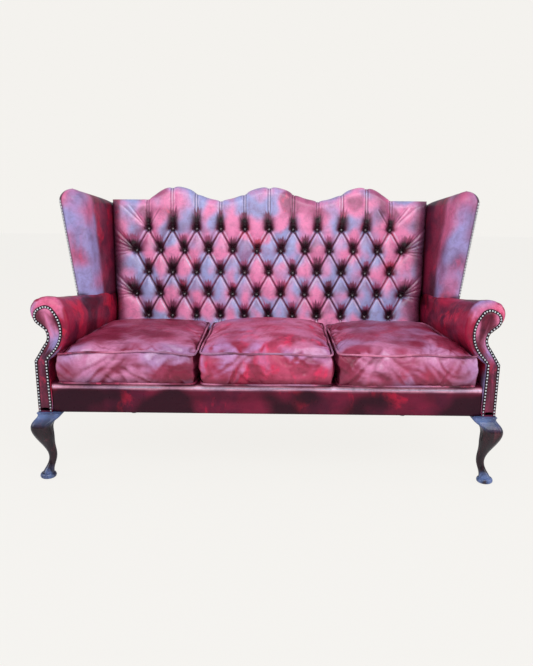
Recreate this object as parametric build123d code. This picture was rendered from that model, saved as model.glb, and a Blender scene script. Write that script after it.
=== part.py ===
from build123d import *
import math
import os

# A three-seat wing-back chesterfield sofa: hardwood frame, sprung seat, deep-buttoned back,
# scrolled arms with nailed facings, padded wings and three loose seat cushions.
# Millimetres. +X to the viewer's right, +Y to the back, +Z up. The origin is on the floor,
# under the centre of the whole sofa's box.

# Overall sizes
overall_depth = 870.0
arm_span = 1754.0
leg_height = 268.0
arm_height = 707.0
back_origin_height = 1095.0
back_recline = 10.1
facing_setback = 45.0

# Clearances and skins
seat_gap = 0.3
joint_gap = 1.0
leather = 3.0
overrun = 60.0

# Planes that pieces share
front_y = -overall_depth / 2 + facing_setback
rear_y = overall_depth / 2

# Arms: one outline near the front, one at the back, joined by straight lines
facing_thickness = 9.0
post_thickness = 30.0
arm_width = 144.0
arm_length = 770.0
arm_back_width = 85.0
arm_back_outer_x = 782.0
arm_back_height = 603.0
arm_outer_x = arm_span / 2
arm_front_y = front_y + facing_thickness + leather
arm_end_y = arm_front_y + arm_length

# Share across from the outermost point, share up from the frame's underside.
# One point is the end of a line; two are a point on an arc and its end.
arm_front_shares = [
    [(0.097, 0.000)],
    [(0.076, 0.460)],
    [(0.354, 0.601)],
    [(0.451, 0.679), (0.368, 0.747)],
    [(0.188, 0.795)],
    [(0.000, 0.882), (0.257, 0.989)],
    [(0.493, 1.000), (0.743, 0.970)],
    [(0.931, 0.866), (1.000, 0.733)],
    [(0.868, 0.595), (0.590, 0.492)],
    [(0.410, 0.460)],
    [(0.465, 0.000)],
]
arm_back_shares = [
    [(0.200, 0.000)],
    [(0.176, 0.513)],
    [(0.353, 0.633)],
    [(0.424, 0.707), (0.353, 0.776)],
    [(0.188, 0.818)],
    [(0.000, 0.896), (0.212, 0.982)],
    [(0.435, 1.000), (0.706, 0.979)],
    [(0.918, 0.907), (1.000, 0.797)],
    [(1.018, 0.701), (0.988, 0.603)],
    [(0.976, 0.558)],
    [(0.965, 0.000)],
]
facing_shares = [
    [(0.090, 0.000)],
    [(0.076, 0.458)],
    [(0.347, 0.599)],
    [(0.4375, 0.665), (0.382, 0.729)],
    [(0.215, 0.774)],
    [(0.111, 0.847), (0.292, 0.923)],
    [(0.493, 0.934), (0.653, 0.893)],
    [(0.799, 0.806), (0.840, 0.729)],
    [(0.785, 0.622), (0.604, 0.528)],
    [(0.417, 0.460)],
    [(0.458, 0.000)],
]
# Where the outside panel meets the arm's own cover, and where the cover stops at the seat
outside_front_shares = [[(0.281, -0.1)], [(0.243, 0.460)], [(0.680, 0.679)], [(-0.3, 0.679)], [(-0.3, -0.1)]]
outside_back_shares = [[(0.580, -0.1)], [(0.576, 0.530)], [(0.700, 0.707)], [(-0.3, 0.707)], [(-0.3, -0.1)]]
arm_rail_front_shares = [[(0.361, 0.780)], [(0.361, 0.882)], [(0.708, 0.882)], [(0.708, 0.780)]]
arm_rail_back_shares = [[(0.330, 0.830)], [(0.330, 0.930)], [(0.760, 0.930)], [(0.760, 0.830)]]
# Below the arm's widest line, where no wing goes
under_front_shares = [[(-1.0, -0.3)], [(-1.0, 0.872)], [(1.6, 0.872)], [(1.6, -0.3)]]
under_back_shares = [[(-1.0, -0.3)], [(-1.0, 0.886)], [(1.6, 0.886)], [(1.6, -0.3)]]

# Seat frame
rail_height = 77.0
rail_thickness = 32.0
block_leg = 70.0
rail_top_z = leg_height + rail_height
rail_front_y = front_y + 2 * leather

# Springs and seat deck
spring_count = 9
spring_pitch = 150.0
wire_radius = 2.0
spring_run = 30.0
spring_bends = 14
clip_length = 24.0
clip_width = 16.0
clip_thickness = 2.0
hessian_thickness = 2.0
deck_pad_thickness = 30.0
deck_cover_thickness = 2.0
lip_depth = 62.0
lip_radius = 18.0

spring_z = rail_top_z + clip_thickness + wire_radius
hessian_z = spring_z + wire_radius + seat_gap
deck_pad_z = hessian_z + hessian_thickness
deck_cover_z = deck_pad_z + deck_pad_thickness
deck_top_z = deck_cover_z + deck_cover_thickness
cushion_z = deck_top_z + seat_gap

# Back: layers counted forward from the rear face
panel_thickness = 6.0
back_frame_thickness = 40.0
webbing_thickness = 1.5
back_stuffing_thickness = 25.0
pad_thickness = 60.0
back_rail_height = 90.0
back_lower_rail_height = 50.0
back_post_width = 40.0
back_stile_width = 40.0
web_width = 50.0
cap_thickness = 13.0
top_roll_radius = 38.0

back_frame_w = panel_thickness
webbing_w = back_frame_w + back_frame_thickness
back_stuffing_w = webbing_w + 2 * webbing_thickness
pad_w = back_stuffing_w + back_stuffing_thickness
pad_face_w = pad_w + pad_thickness

# Scalloped top edge of the back: three humps between flat ends
scallop_rise = 61.0
hump_pitch = 430.0
valley_share = 225.0 / 430.0
hump_end = 590.0
pad_top_half = 719.0
pad_waist_half = 703.0
pad_seat_half = 694.0
pad_waist_z = 660.0
pad_seat_z = 600.0
pad_bottom_z = 390.0

# The outside back panel's half widths, from its top down
panel_top_half = 801.0
panel_arm_half = 763.0
panel_waist_half = 745.0
panel_seat_half = 765.0
panel_waist_z = 510.0
panel_seat_z = 446.0

# Webbing strips
across_web_count = 5
upright_web_count = 9

# Deep buttoning
button_pitch = 111.0
row_pitch = 100.0
row_count = 5
long_row_half = 5
first_row_drop = 197.0
groove_depth = 22.0
groove_half = 42.0
groove_lift = 2.0
pleat_depth = 9.0
pleat_half = 20.0
swell_across_share = 0.42
swell_down_share = 0.28
dimple_depth = 27.0
dimple_mouth = 20.0
dimple_floor = 12.0
edge_dimple_share = 1.08
button_radius = 11.0
button_height = 7.0

# Wings
wing_front_y = front_y + 355.0
wing_foot_z = 600.0
wing_outer_x = 806.0
wing_lean = 0.14
wing_splay = 7.0
wing_roll_low = 45.0
wing_roll_high = 57.0
wing_inner_x = 705.0
wing_inner_lean = 0.042
wing_inner_y = front_y + 700.0
wing_top_z = 1101.0
wing_fall = 0.17
wing_top_roll = 48.0
wing_top_roll_back = 38.0
wing_panel = 5.0
wing_wood = 36.0
wing_wood_offset = 14.0
wing_rail_height = 45.0
wing_rail_drop = 55.0

# Nails
nail_pitch = 12.0
nail_radius = 5.0
nail_rise = 2.6
shank_radius = 0.8
shank_length = 4.0
shank_clearance = 0.15
nail_inset = 6.0
wing_nail_low_z = 672.0
wing_nail_high_z = 1048.0
wing_nail_turn = 38.0

# Legs and feet
pad_foot_radius = 30.5
pad_foot_widest_z = 12.0
pad_foot_top_z = 24.0
shaft_foot_z = 20.0
leg_inset = 9.0
front_leg_top = 80.0
rear_leg_top = 44.0
rear_leg_foot = 34.0
rear_leg_rake = 110.0
glide_height = 4.0
glide_radius = 14.0
bolt_radius = 4.0
bolt_length = 80.0
bolt_clearance = 0.15
dust_thickness = 1.5

# Cushions
cushion_front = 20.0
cushion_seam_x = 255.0
cushion_band = 108.0
cushion_corner = 26.0
cushion_draw = 7.0
cushion_bulge = 5.0
quarter_bulge_share = 0.8
centre_crown = 52.0
side_crown = 36.0
cover_thickness = 2.5
piping_radius = 4.5
piping_steps = 6
piping_low_seat = 2.2
piping_high_seat = 1.3
cushion_outer_front_x = 774.0
cushion_outer_back_x = 708.0


def place_xz(outer_x, width, height, y):
    """Turns shares of an arm section into points of the upright plane at y."""
    rise = height - leg_height
    return lambda share: Vector(outer_x - share[0] * width, y, leg_height + share[1] * rise)


def closed_wire(steps, place):
    """A closed wire: a step of one point is a line to it, of two an arc through the first."""
    edges = []
    last = place(steps[-1][-1])
    for step in steps:
        end = place(step[-1])
        if len(step) == 1:
            edges.append(Edge.make_line(last, end))
        else:
            edges.append(Edge.make_three_point_arc(last, place(step[0]), end))
        last = end
    return Wire(edges)


def inset_wire(wire, amount):
    """The same planar outline, taken in by amount."""
    if amount == 0:
        return wire
    return offset(Face(wire), amount=-amount, kind=Kind.INTERSECTION).faces()[0].outer_wire()


front_place = place_xz(arm_outer_x, arm_width, arm_height, arm_front_y)
back_place = place_xz(arm_back_outer_x, arm_back_width, arm_back_height, arm_end_y)


def arm_loft(front_steps, back_steps, inset=0.0):
    """A straight-ruled solid from an outline at the arm's front to one at its end."""
    front = inset_wire(closed_wire(front_steps, front_place), inset)
    back = inset_wire(closed_wire(back_steps, back_place), inset)
    return Solid.make_loft([front, back], ruled=True)


def arm_x(front_share, back_share, y):
    """X of a line of the arm at y, from its share across at either end."""
    along = (y - arm_front_y) / arm_length
    front = arm_outer_x - front_share * arm_width
    back = arm_back_outer_x - back_share * arm_back_width
    return front + (back - front) * along


def arm_inner_x(y):
    return arm_x(arm_front_shares[-1][0][0], arm_back_shares[-1][0][0], y)


def arm_lower_outer_x(y):
    return arm_x(arm_front_shares[0][0][0], arm_back_shares[0][0][0], y)


def box_between(low, high):
    """A box from its lowest to its highest corner."""
    size = [high[i] - low[i] for i in range(3)]
    middle = [(high[i] + low[i]) / 2 for i in range(3)]
    return Pos(*middle) * Box(*size)


def prism_z(points, low_z, high_z):
    """An upright prism over a polygon of (x, y) points."""
    wire = Wire.make_polygon([Vector(x, y, low_z) for x, y in points], close=True)
    return Solid.extrude(Face(wire), Vector(0, 0, high_z - low_z))


def ruled_box(first, second):
    """A straight bar between two polygons of 3D points."""
    wires = [Wire.make_polygon([Vector(*p) for p in points], close=True) for points in (first, second)]
    return Solid.make_loft(wires, ruled=True)


def mirrored(shape):
    return shape.mirror(Plane.YZ)


def save(name, *shapes):
    """Writes one node from its solids."""
    solids = []
    for shape in shapes:
        solids.extend(shape.solids())
    whole = solids[0] if len(solids) == 1 else Compound(children=solids)
    export_step(whole, "parts/" + name + ".step")


def save_sides(name, right):
    save(name + "_right", right)
    save(name + "_left", mirrored(right))


# The back's own frame: u across, v up the slope, w forward from its rear face
recline = math.radians(back_recline)
back_plane = Plane(
    origin=(0, rear_y, back_origin_height),
    x_dir=(1, 0, 0),
    z_dir=(0, -math.cos(recline), math.sin(recline)),
)


def back_v(z, w):
    """The height v, up the slope, of a point at real height z and layer w."""
    return (z - back_origin_height - w * math.sin(recline)) / math.cos(recline)


def back_y(z, w):
    """Real Y of the back's layer w at height z."""
    return rear_y + back_v(z, w) * math.sin(recline) - w * math.cos(recline)


def in_back(shape):
    return back_plane.location * shape


def bar_uv(low_u, high_u, low_v, high_v, low_w, high_w):
    return box_between((low_u, low_v, low_w), (high_u, high_v, high_w))


below_frame = box_between(
    (-arm_span, -overall_depth, -leg_height), (arm_span, overall_depth, leg_height)
)
back_depth_below = back_origin_height + overrun
behind_back = in_back(
    bar_uv(-arm_span, arm_span, -2 * back_depth_below, back_depth_below, -overall_depth, panel_thickness)
)


def scallop_arcs(u0, v0, u1, v1):
    """Two arcs that leave level, bend at the middle and arrive level."""
    half_u = (u1 - u0) / 2
    half_v = (v1 - v0) / 2
    radius = (half_u**2 + half_v**2) / (2 * abs(half_v))
    turn = math.asin(abs(half_u) / radius) / 2
    side = math.copysign(1, half_u)
    up = math.copysign(1, half_v)
    reach = radius * math.sin(turn)
    rise = radius * (1 - math.cos(turn))
    middle = (u0 + half_u, v0 + half_v)
    first = (u0 + side * reach, v0 + up * rise)
    last = (u1 - side * reach, v1 - up * rise)
    return [[first, middle], [last, (u1, v1)]]


def scalloped_top(half_width, drop):
    """Steps of the back's top edge from its left end to its right, lowered by drop."""
    low = -scallop_rise - drop
    high = -drop
    valley = hump_pitch * valley_share
    knots = [(-hump_end, low), (-hump_pitch, high), (-valley, low), (0.0, high)]
    knots += [(valley, low), (hump_pitch, high), (hump_end, low)]
    steps = [[(-half_width, low)], [knots[0]]]
    for here, there in zip(knots[:-1], knots[1:]):
        steps += scallop_arcs(*here, *there)
    steps.append([(half_width, low)])
    return steps


def back_slab(side_points, drop, low_w, high_w):
    """A slab under the scalloped top; side_points are (half width, v) down the right side."""
    steps = scalloped_top(side_points[0][0], drop)
    steps += [[point] for point in side_points[1:]]
    steps += [[(-half, v)] for half, v in reversed(side_points[1:])]
    wire = closed_wire(steps, lambda p: Vector(p[0], p[1], low_w))
    return Solid.extrude(Face(wire), Vector(0, 0, high_w - low_w))


# Arm sections
arm_outer = arm_loft(arm_front_shares, arm_back_shares)
arm_lining = arm_loft(arm_front_shares, arm_back_shares, leather)
arm_core = arm_loft(arm_front_shares, arm_back_shares, leather + seat_gap)
outside_zone = arm_loft(outside_front_shares, outside_back_shares)
under_arm = arm_loft(under_front_shares, under_back_shares)
post_end_y = arm_front_y + post_thickness
seat_zone = box_between((0, arm_front_y - overrun, 0), (arm_span, rear_y + overrun, deck_top_z))
arm_top_rail_full = arm_loft(arm_rail_front_shares, arm_rail_back_shares)
behind_post_end = box_between((0, post_end_y, 0), (arm_span, overall_depth, back_origin_height))


def make_side_rail():
    """The seat's side rail, inside the lower part of the arm."""
    ends = []
    for y in (post_end_y, rear_y):
        middle = (arm_inner_x(y) + arm_lower_outer_x(y)) / 2
        low_x = middle - rail_thickness / 2
        high_x = middle + rail_thickness / 2
        ends.append([(low_x, y, leg_height), (high_x, y, leg_height), (high_x, y, rail_top_z), (low_x, y, rail_top_z)])
    return ruled_box(*ends) - behind_back


def bolt_spots():
    """Where the leg bolts stand: a front and a rear spot on the right side."""
    y = arm_front_y + post_thickness / 2
    front = ((arm_inner_x(y) + arm_lower_outer_x(y)) / 2, y)
    post_u = pad_seat_half - back_post_width / 2
    middle_w = back_frame_w + back_frame_thickness / 2
    return front, (post_u, back_y(leg_height, middle_w))


def bolt_at(spot, radius):
    return Pos(spot[0], spot[1], leg_height) * Cylinder(radius, bolt_length)


def bolt_holes():
    return [bolt_at(spot, bolt_radius + bolt_clearance) for spot in bolt_spots()]


def make_arm(wing_post):
    """Saves the arm's post, rail, stuffing and covers, right and left."""
    holes = bolt_holes()
    side_rail = make_side_rail()
    top_rail = (arm_top_rail_full & behind_post_end) - behind_back
    facing_wire = closed_wire(facing_shares, front_place)
    block = Solid.extrude(Face(facing_wire), Vector(0, post_thickness, 0))
    post = (arm_core & block) - holes
    stuffing = arm_core - block - side_rail - top_rail - behind_back - wing_post
    save_sides("seat_side_rail", side_rail - holes)
    save_sides("arm_front_post", post)
    save("arm_top_rails", top_rail, mirrored(top_rail))
    save_sides("arm_stuffing", stuffing)
    ring = arm_outer - arm_lining
    front_wire = closed_wire(arm_front_shares, front_place)
    front_plate = Solid.extrude(Face(front_wire), Vector(0, -leather, 0))
    cover = (ring - outside_zone - seat_zone - behind_back - wing_post) + front_plate
    save_sides("arm_cover", cover)
    # The underside stays open, for the rail and the leg
    open_low = box_between((0, arm_front_y, 0), (arm_span, rear_y, leg_height + leather))
    opening = (Pos(0, 0, -2 * leather) * arm_lining) & open_low
    save_sides("outside_arm_panel", (ring & outside_zone) - behind_back - opening)


def make_nail():
    """A domed nail on the plane Z = 0, its shank below."""
    ball = (nail_radius**2 + nail_rise**2) / (2 * nail_rise)
    dome = Pos(0, 0, nail_rise - ball) * Sphere(ball)
    dome &= box_between((-nail_radius, -nail_radius, 0), (nail_radius, nail_radius, nail_rise))
    shank = Pos(0, 0, -shank_length / 2) * Cylinder(shank_radius, shank_length)
    return (dome + shank).solids()[0]


def make_facings(nail):
    """The nailed front panels of the arms."""
    place = place_xz(arm_outer_x, arm_width, arm_height, front_y)
    outline = closed_wire(facing_shares, place)
    panel = Solid.extrude(Face(outline), Vector(0, facing_thickness, 0))
    edge = Wire(outline.edges()[1:])
    run = edge.length - 2 * nail_inset
    count = int(run / nail_pitch)
    nails, holes = [], []
    for i in range(count + 1):
        at = nail_inset + run * i / count
        spot = edge.position_at(at, position_mode=PositionMode.LENGTH)
        along = edge.tangent_at(at, position_mode=PositionMode.LENGTH)
        inward = along.cross(Vector(0, 1, 0)).normalized()
        if (Face(outline).center() - spot).dot(inward) < 0 and i in (0, count):
            inward = inward * -1
        centre = spot + inward * nail_inset
        stand = Plane(origin=centre, x_dir=(1, 0, 0), z_dir=(0, -1, 0)).location
        nails.append(stand * nail)
        depth = shank_length + shank_clearance
        holes.append(stand * Pos(0, 0, -depth / 2) * Cylinder(shank_radius + shank_clearance, depth))
    save_sides("arm_facing", panel - holes)
    save("facing_nails", *nails, *[mirrored(n) for n in nails])
    return count + 1


def wing_centre(z):
    """Centre and radius of the wing's front roll at height z."""
    up = (z - wing_foot_z) / (wing_top_z - wing_foot_z)
    radius = wing_roll_low + (wing_roll_high - wing_roll_low) * up
    outer = wing_outer_x + wing_lean * (z - wing_foot_z)
    return outer - radius, wing_front_y + radius, radius


def wing_inner(z):
    return wing_inner_x + wing_inner_lean * (z - wing_foot_z)


def wing_outer_line(z, inset, y):
    """X of the wing's flat outer side, taken in by inset, at y."""
    centre_x, centre_y, radius = wing_centre(z)
    splay = math.radians(wing_splay)
    reach = (radius - inset) / math.cos(splay)
    return centre_x + reach - (y - centre_y) * math.tan(splay)


def wing_plan(z, inset):
    """The wing's level outline at z: a round front, a flat outer and a flat inner side."""
    centre_x, centre_y, radius = wing_centre(z)
    radius -= inset
    splay = math.radians(wing_splay)

    def on_roll(angle):
        return (centre_x + radius * math.cos(angle), centre_y + radius * math.sin(angle))

    half_turn = math.pi
    quarter = half_turn / 2
    inner_x = wing_inner(z) + inset
    steps = [
        [on_roll(half_turn)],
        [on_roll(-half_turn + quarter / 2), on_roll(-quarter)],
        [on_roll(-quarter / 2), on_roll(splay)],
        [(wing_outer_line(z, inset, rear_y + overrun), rear_y + overrun)],
        [(inner_x, rear_y + overrun)],
        [(inner_x, wing_inner_y)],
    ]
    return closed_wire(steps, lambda p: Vector(p[0], p[1], z))


def wing_crest(y):
    return wing_top_z - wing_fall * (y - wing_front_y)


def wing_front_outline(y, inset, roll):
    """The wing's upright outline at y, with its rounded top."""
    top = wing_crest(y) - inset
    roll = roll - inset
    level = top - roll
    outer = wing_outer_line(level, inset, max(y, wing_centre(level)[1]))
    inner_front = wing_centre(level)[0] - wing_centre(level)[2]
    blend = min(max((y - wing_front_y) / (wing_inner_y - wing_front_y), 0), 1)
    inner = inner_front + (wing_inner(level) - inner_front) * blend + inset
    cut = roll * (1 - math.sqrt(2) / 2)
    steps = [
        [(outer + overrun, leg_height)],
        [(outer + overrun, level)],
        [(outer, level)],
        [(outer - cut, top - cut), (outer - roll, top)],
        [(inner + roll, top)],
        [(inner + cut, top - cut), (inner, level)],
        [(inner - overrun, level)],
        [(inner - overrun, leg_height)],
    ]
    return closed_wire(steps, lambda p: Vector(p[0], y, p[1]))


def wing_round_top(inset):
    """A long solid whose rounded top gives the wing its upper roll."""
    front = wing_front_outline(wing_front_y, inset, wing_top_roll)
    middle = wing_front_outline(wing_inner_y, inset, wing_top_roll_back)
    whole = Solid.make_loft([front, middle], ruled=True)
    stretch = Solid.extrude(Face(middle), Vector(0, rear_y + overrun - wing_inner_y, -wing_fall * (rear_y + overrun - wing_inner_y)))
    return whole + stretch


def wing_form(inset):
    """The wing's padded shape, taken in by inset, above the arm."""
    low = wing_plan(wing_foot_z - overrun, inset)
    high = wing_plan(wing_top_z + overrun, inset)
    body = Solid.make_loft([low, high], ruled=True)
    form = body & wing_round_top(inset)
    lifted = Pos(0, 0, seat_gap) * arm_outer
    return form - under_arm - arm_outer - lifted - behind_back


def wing_band(thickness, clearance):
    """The layer of the wing just inside its flat outer side."""
    ends = []
    for z in (wing_foot_z - overrun, wing_top_z + overrun):
        centre_x, centre_y, radius = wing_centre(z)
        start_y = centre_y + radius * math.sin(math.radians(wing_splay)) - clearance
        end_y = rear_y + overrun
        ends.append(
            [
                (wing_outer_line(z, -overrun, start_y), start_y, z),
                (wing_outer_line(z, -overrun, end_y), end_y, z),
                (wing_outer_line(z, thickness, end_y), end_y, z),
                (wing_outer_line(z, thickness, start_y), start_y, z),
            ]
        )
    return ruled_box(*ends)


def square_at(x, y, z, size):
    half = size / 2
    return [(x - half, y - half, z), (x + half, y - half, z), (x + half, y + half, z), (x - half, y + half, z)]


def make_wing_post():
    """The upright inside the wing's front roll, from the arm rail to below its top."""
    top_z = wing_top_z - wing_rail_drop
    ends = []
    for z in (wing_foot_z - leather, top_z):
        centre_x, centre_y, radius = wing_centre(z)
        ends.append(square_at(centre_x + wing_wood_offset, centre_y, z, wing_wood))
    return ruled_box(*ends) - arm_top_rail_full


def make_wing_rail():
    """The rail along the wing's top, behind its post."""
    top_z = wing_top_z - wing_rail_drop
    centre_x, centre_y, radius = wing_centre(top_z)
    start_y = centre_y + wing_wood / 2 + seat_gap
    start_x = centre_x + wing_wood_offset
    run = rear_y - start_y
    end_x = start_x - run * math.tan(math.radians(wing_splay))
    half = wing_wood / 2
    ends = []
    for x, y, z in ((start_x, start_y, top_z), (end_x, rear_y, top_z - wing_fall * run)):
        low = z - wing_rail_height
        ends.append([(x - half, y, low), (x + half, y, low), (x + half, y, z), (x - half, y, z)])
    return ruled_box(*ends) - behind_back


def make_wings(wing_post, nail):
    """Saves the wing's wood, stuffing, cover, outside panel and nails."""
    rail = make_wing_rail()
    outer = wing_form(0.0)
    lining = wing_form(leather)
    core = wing_form(leather + seat_gap)
    band = wing_band(wing_panel, 0.0)
    wide_band = wing_band(wing_panel + seat_gap, seat_gap)
    cover = outer - lining - band - wing_post
    stuffing = core - wide_band - wing_post - rail
    panel = outer & band
    nails, holes = [], []
    run = wing_nail_high_z - wing_nail_low_z
    count = int(run / nail_pitch)
    turn = math.radians(wing_nail_turn)

    def on_roll(z):
        centre_x, centre_y, radius = wing_centre(z)
        return Vector(centre_x + radius * math.cos(turn), centre_y - radius * math.sin(turn), z)

    up = on_roll(wing_nail_high_z) - on_roll(wing_nail_low_z)
    outward = Vector(math.sin(turn), math.cos(turn), 0).cross(up).normalized()
    for i in range(count + 1):
        z = wing_nail_low_z + run * i / count
        stand = Plane(origin=on_roll(z), x_dir=(0, 1, 0), z_dir=outward).location
        nails.append(stand * nail)
        depth = shank_length + shank_clearance
        holes.append(stand * Pos(0, 0, -depth / 2) * Cylinder(shank_radius + shank_clearance, depth))
    save("wing_posts", wing_post, mirrored(wing_post))
    save("wing_top_rails", rail, mirrored(rail))
    save_sides("wing_stuffing", stuffing - holes)
    save_sides("wing_cover", max((cover - holes).solids(), key=lambda solid: solid.volume))
    save_sides("outside_wing_panel", panel)
    save("wing_nails", *nails, *[mirrored(n) for n in nails])


def groove_profile(depth, half, lift):
    """Steps of a pleat's cross-section: two walls that swell up from one sharp line."""
    head = lift + depth
    via = (swell_across_share * half, -swell_down_share * depth)
    return [
        [(-half, lift)],
        [(-via[0], via[1]), (0.0, -depth)],
        [via, (half, lift)],
        [(half, head)],
        [(-half, head)],
    ]


def groove(start, end, depth, half):
    """A cutter along a straight pleat between two (u, v) points of the pad's face."""
    length = math.dist(start, end)
    along = Vector(end[0] - start[0], end[1] - start[1], 0).normalized()
    across = Vector(-along.Y, along.X, 0)
    origin = Vector(start[0], start[1], pad_face_w)
    steps = groove_profile(depth, half, groove_lift)
    wire = closed_wire(steps, lambda p: origin + across * p[0] + Vector(0, 0, p[1]))
    return Solid.extrude(Face(wire), along * length)


def button_spots():
    """Rows of (u, v) places, the first row highest; odd rows lie half a pitch aside."""
    rows = []
    for row in range(row_count):
        v = -first_row_drop - row * row_pitch
        shift = 0.5 if row % 2 else 0.0
        steps = [i - shift for i in range(-long_row_half, long_row_half + 1 + (row % 2))]
        rows.append([(step * button_pitch, v) for step in steps])
    return rows


def diagonal_runs(rows, side):
    """Straight pleats from button to button, down to the left or right."""
    near = button_pitch / 2
    used, runs = set(), []
    for r, row in enumerate(rows):
        for u, v in row:
            if (r, round(u / near)) in used:
                continue
            level, at = r, u
            used.add((level, round(at / near)))
            while level + 1 < len(rows):
                below = [p for p in rows[level + 1] if abs(p[0] - at - side * near) < near / 2]
                if not below:
                    break
                level, at = level + 1, below[0][0]
                used.add((level, round(at / near)))
            if level > r:
                runs.append(((u, v), (at, rows[level][0][1])))
    return runs


def dimple(spot):
    """A round hollow with a flat floor under one button."""
    depth = dimple_depth + groove_lift
    cone = Cone(dimple_floor, dimple_mouth, depth)
    return Pos(spot[0], spot[1], pad_face_w - dimple_depth + depth / 2) * cone


def edge_dimple(spot):
    """A wide soft hollow that ends the pleats at the outermost buttons."""
    reach = groove_half * edge_dimple_share
    low = -groove_depth - groove_lift
    steps = [
        [(0.0, low)],
        [(swell_across_share * reach, swell_down_share * low), (reach, groove_lift)],
        [(reach, groove_lift - low)],
        [(0.0, groove_lift - low)],
    ]
    wire = closed_wire(steps, lambda p: Vector(p[0], 0, p[1]))
    return Pos(spot[0], spot[1], pad_face_w) * Solid.revolve(Face(wire), 360, Axis.Z)


def make_tufted_back():
    """The buttoned cover with its pleats, and the buttons."""
    bottom_v = back_v(pad_bottom_z, pad_face_w)
    sides = [
        (pad_top_half, -scallop_rise),
        (pad_waist_half, back_v(pad_waist_z, pad_face_w)),
        (pad_seat_half, back_v(pad_seat_z, pad_face_w)),
        (pad_seat_half, bottom_v),
    ]
    pad = back_slab(sides, 0.0, panel_thickness, pad_face_w)
    top_edges = [
        edge
        for edge in pad.edges()
        if abs(edge.center().Z - pad_face_w) < groove_lift and edge.center().Y > -scallop_rise - groove_lift
    ]
    pad = pad.fillet(top_roll_radius, top_edges)
    hollow = back_slab(
        [(pad_top_half + overrun, 0), (pad_top_half + overrun, bottom_v - overrun)],
        cap_thickness,
        panel_thickness - overrun,
        pad_w,
    )
    pad -= hollow
    rows = button_spots()
    cutters = []
    for side in (-1, 1):
        cutters += [groove(a, b, groove_depth, groove_half) for a, b in diagonal_runs(rows, side)]
    for u, v in rows[0]:
        cutters.append(groove((u, v), (u, overrun), pleat_depth, pleat_half))
    for u, v in rows[-1]:
        cutters.append(groove((u, v), (u, bottom_v - overrun), pleat_depth, pleat_half))
    edge_spots = rows[0] + rows[-1]
    for row in rows[1:-1]:
        edge_spots += [row[0], row[-1]]
    cutters += [edge_dimple(spot) for spot in edge_spots]
    cutters += [dimple(spot) for row in rows for spot in row]
    pad -= cutters
    save("back_tufted_cover", in_back(pad))
    ball = (button_radius**2 + button_height**2) / (2 * button_height)
    head = Pos(0, 0, button_height - ball) * Sphere(ball)
    head &= box_between((-button_radius, -button_radius, 0), (button_radius, button_radius, button_height))
    head = head.solids()[0]
    buttons = [
        in_back(Pos(u, v, pad_face_w - dimple_depth) * head) for row in rows for u, v in row
    ]
    save("back_buttons", *buttons)


def make_back_frame():
    """The back's wood, webbing, stuffing and outside panel."""
    low_w, high_w = back_frame_w, back_frame_w + back_frame_thickness
    post_outer = pad_seat_half
    post_inner = post_outer - back_post_width
    rail_drop = cap_thickness + joint_gap
    rail_bottom = -scallop_rise - rail_drop - back_rail_height
    floor_v = back_v(leg_height, 0.0) - overrun
    post_top = -scallop_rise - rail_drop
    hole = bolt_holes()[1]
    post = in_back(bar_uv(post_inner, post_outer, floor_v, post_top, low_w, high_w)) - below_frame - hole
    save_sides("back_post", post)
    top_rail = back_slab([(post_inner, 0.0), (post_inner, rail_bottom)], rail_drop, low_w, high_w)
    save("back_top_rail", in_back(top_rail))
    lower_top = back_v(pad_seat_z - back_rail_height, low_w)
    lower_bottom = lower_top - back_lower_rail_height
    save("back_lower_rail", in_back(bar_uv(-post_inner, post_inner, lower_bottom, lower_top, low_w, high_w)))
    half = back_stile_width / 2
    valley = hump_pitch * valley_share
    stiles = [
        in_back(bar_uv(u - half, u + half, lower_top, rail_bottom, low_w, high_w)) for u in (-valley, valley)
    ]
    save("back_stiles", *stiles)
    seat_rail = in_back(
        bar_uv(-post_inner, post_inner, floor_v, back_v(rail_top_z, low_w + rail_thickness), low_w, low_w + rail_thickness)
    )
    seat_rail -= below_frame
    save("seat_rear_rail", seat_rail)
    webs = []
    half_web = web_width / 2
    middle_w = webbing_w + webbing_thickness
    reach_v = rail_bottom - lower_top
    for i in range(across_web_count):
        v = lower_top + reach_v * (i + 0.5) / across_web_count
        webs.append(bar_uv(-post_outer, post_outer, v - half_web, v + half_web, webbing_w, middle_w))
    for i in range(upright_web_count):
        u = -post_inner + 2 * post_inner * (i + 0.5) / upright_web_count
        high = rail_bottom + back_rail_height / 2
        webs.append(bar_uv(u - half_web, u + half_web, lower_bottom, high, middle_w, back_stuffing_w))
    save("back_webbing", *[in_back(web) for web in webs])
    bottom_v = back_v(pad_bottom_z, pad_face_w)
    stuffing = back_slab(
        [(post_outer, 0.0), (post_outer, bottom_v)],
        cap_thickness + seat_gap,
        back_stuffing_w,
        back_stuffing_w + back_stuffing_thickness - seat_gap,
    )
    save("back_stuffing", in_back(stuffing))
    # The panel's sides stay just inside the arms and wings that it closes from behind
    sides = [
        (panel_top_half, -scallop_rise - joint_gap),
        (panel_arm_half, back_v(arm_back_height, 0.0)),
        (panel_waist_half, back_v(panel_waist_z, 0.0)),
        (panel_seat_half, back_v(panel_seat_z, 0.0)),
        (panel_seat_half, back_v(leg_height, 0.0)),
    ]
    panel = back_slab(sides, 0.0, 0.0, panel_thickness)
    save("outside_back_panel", in_back(panel) - below_frame)


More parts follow.
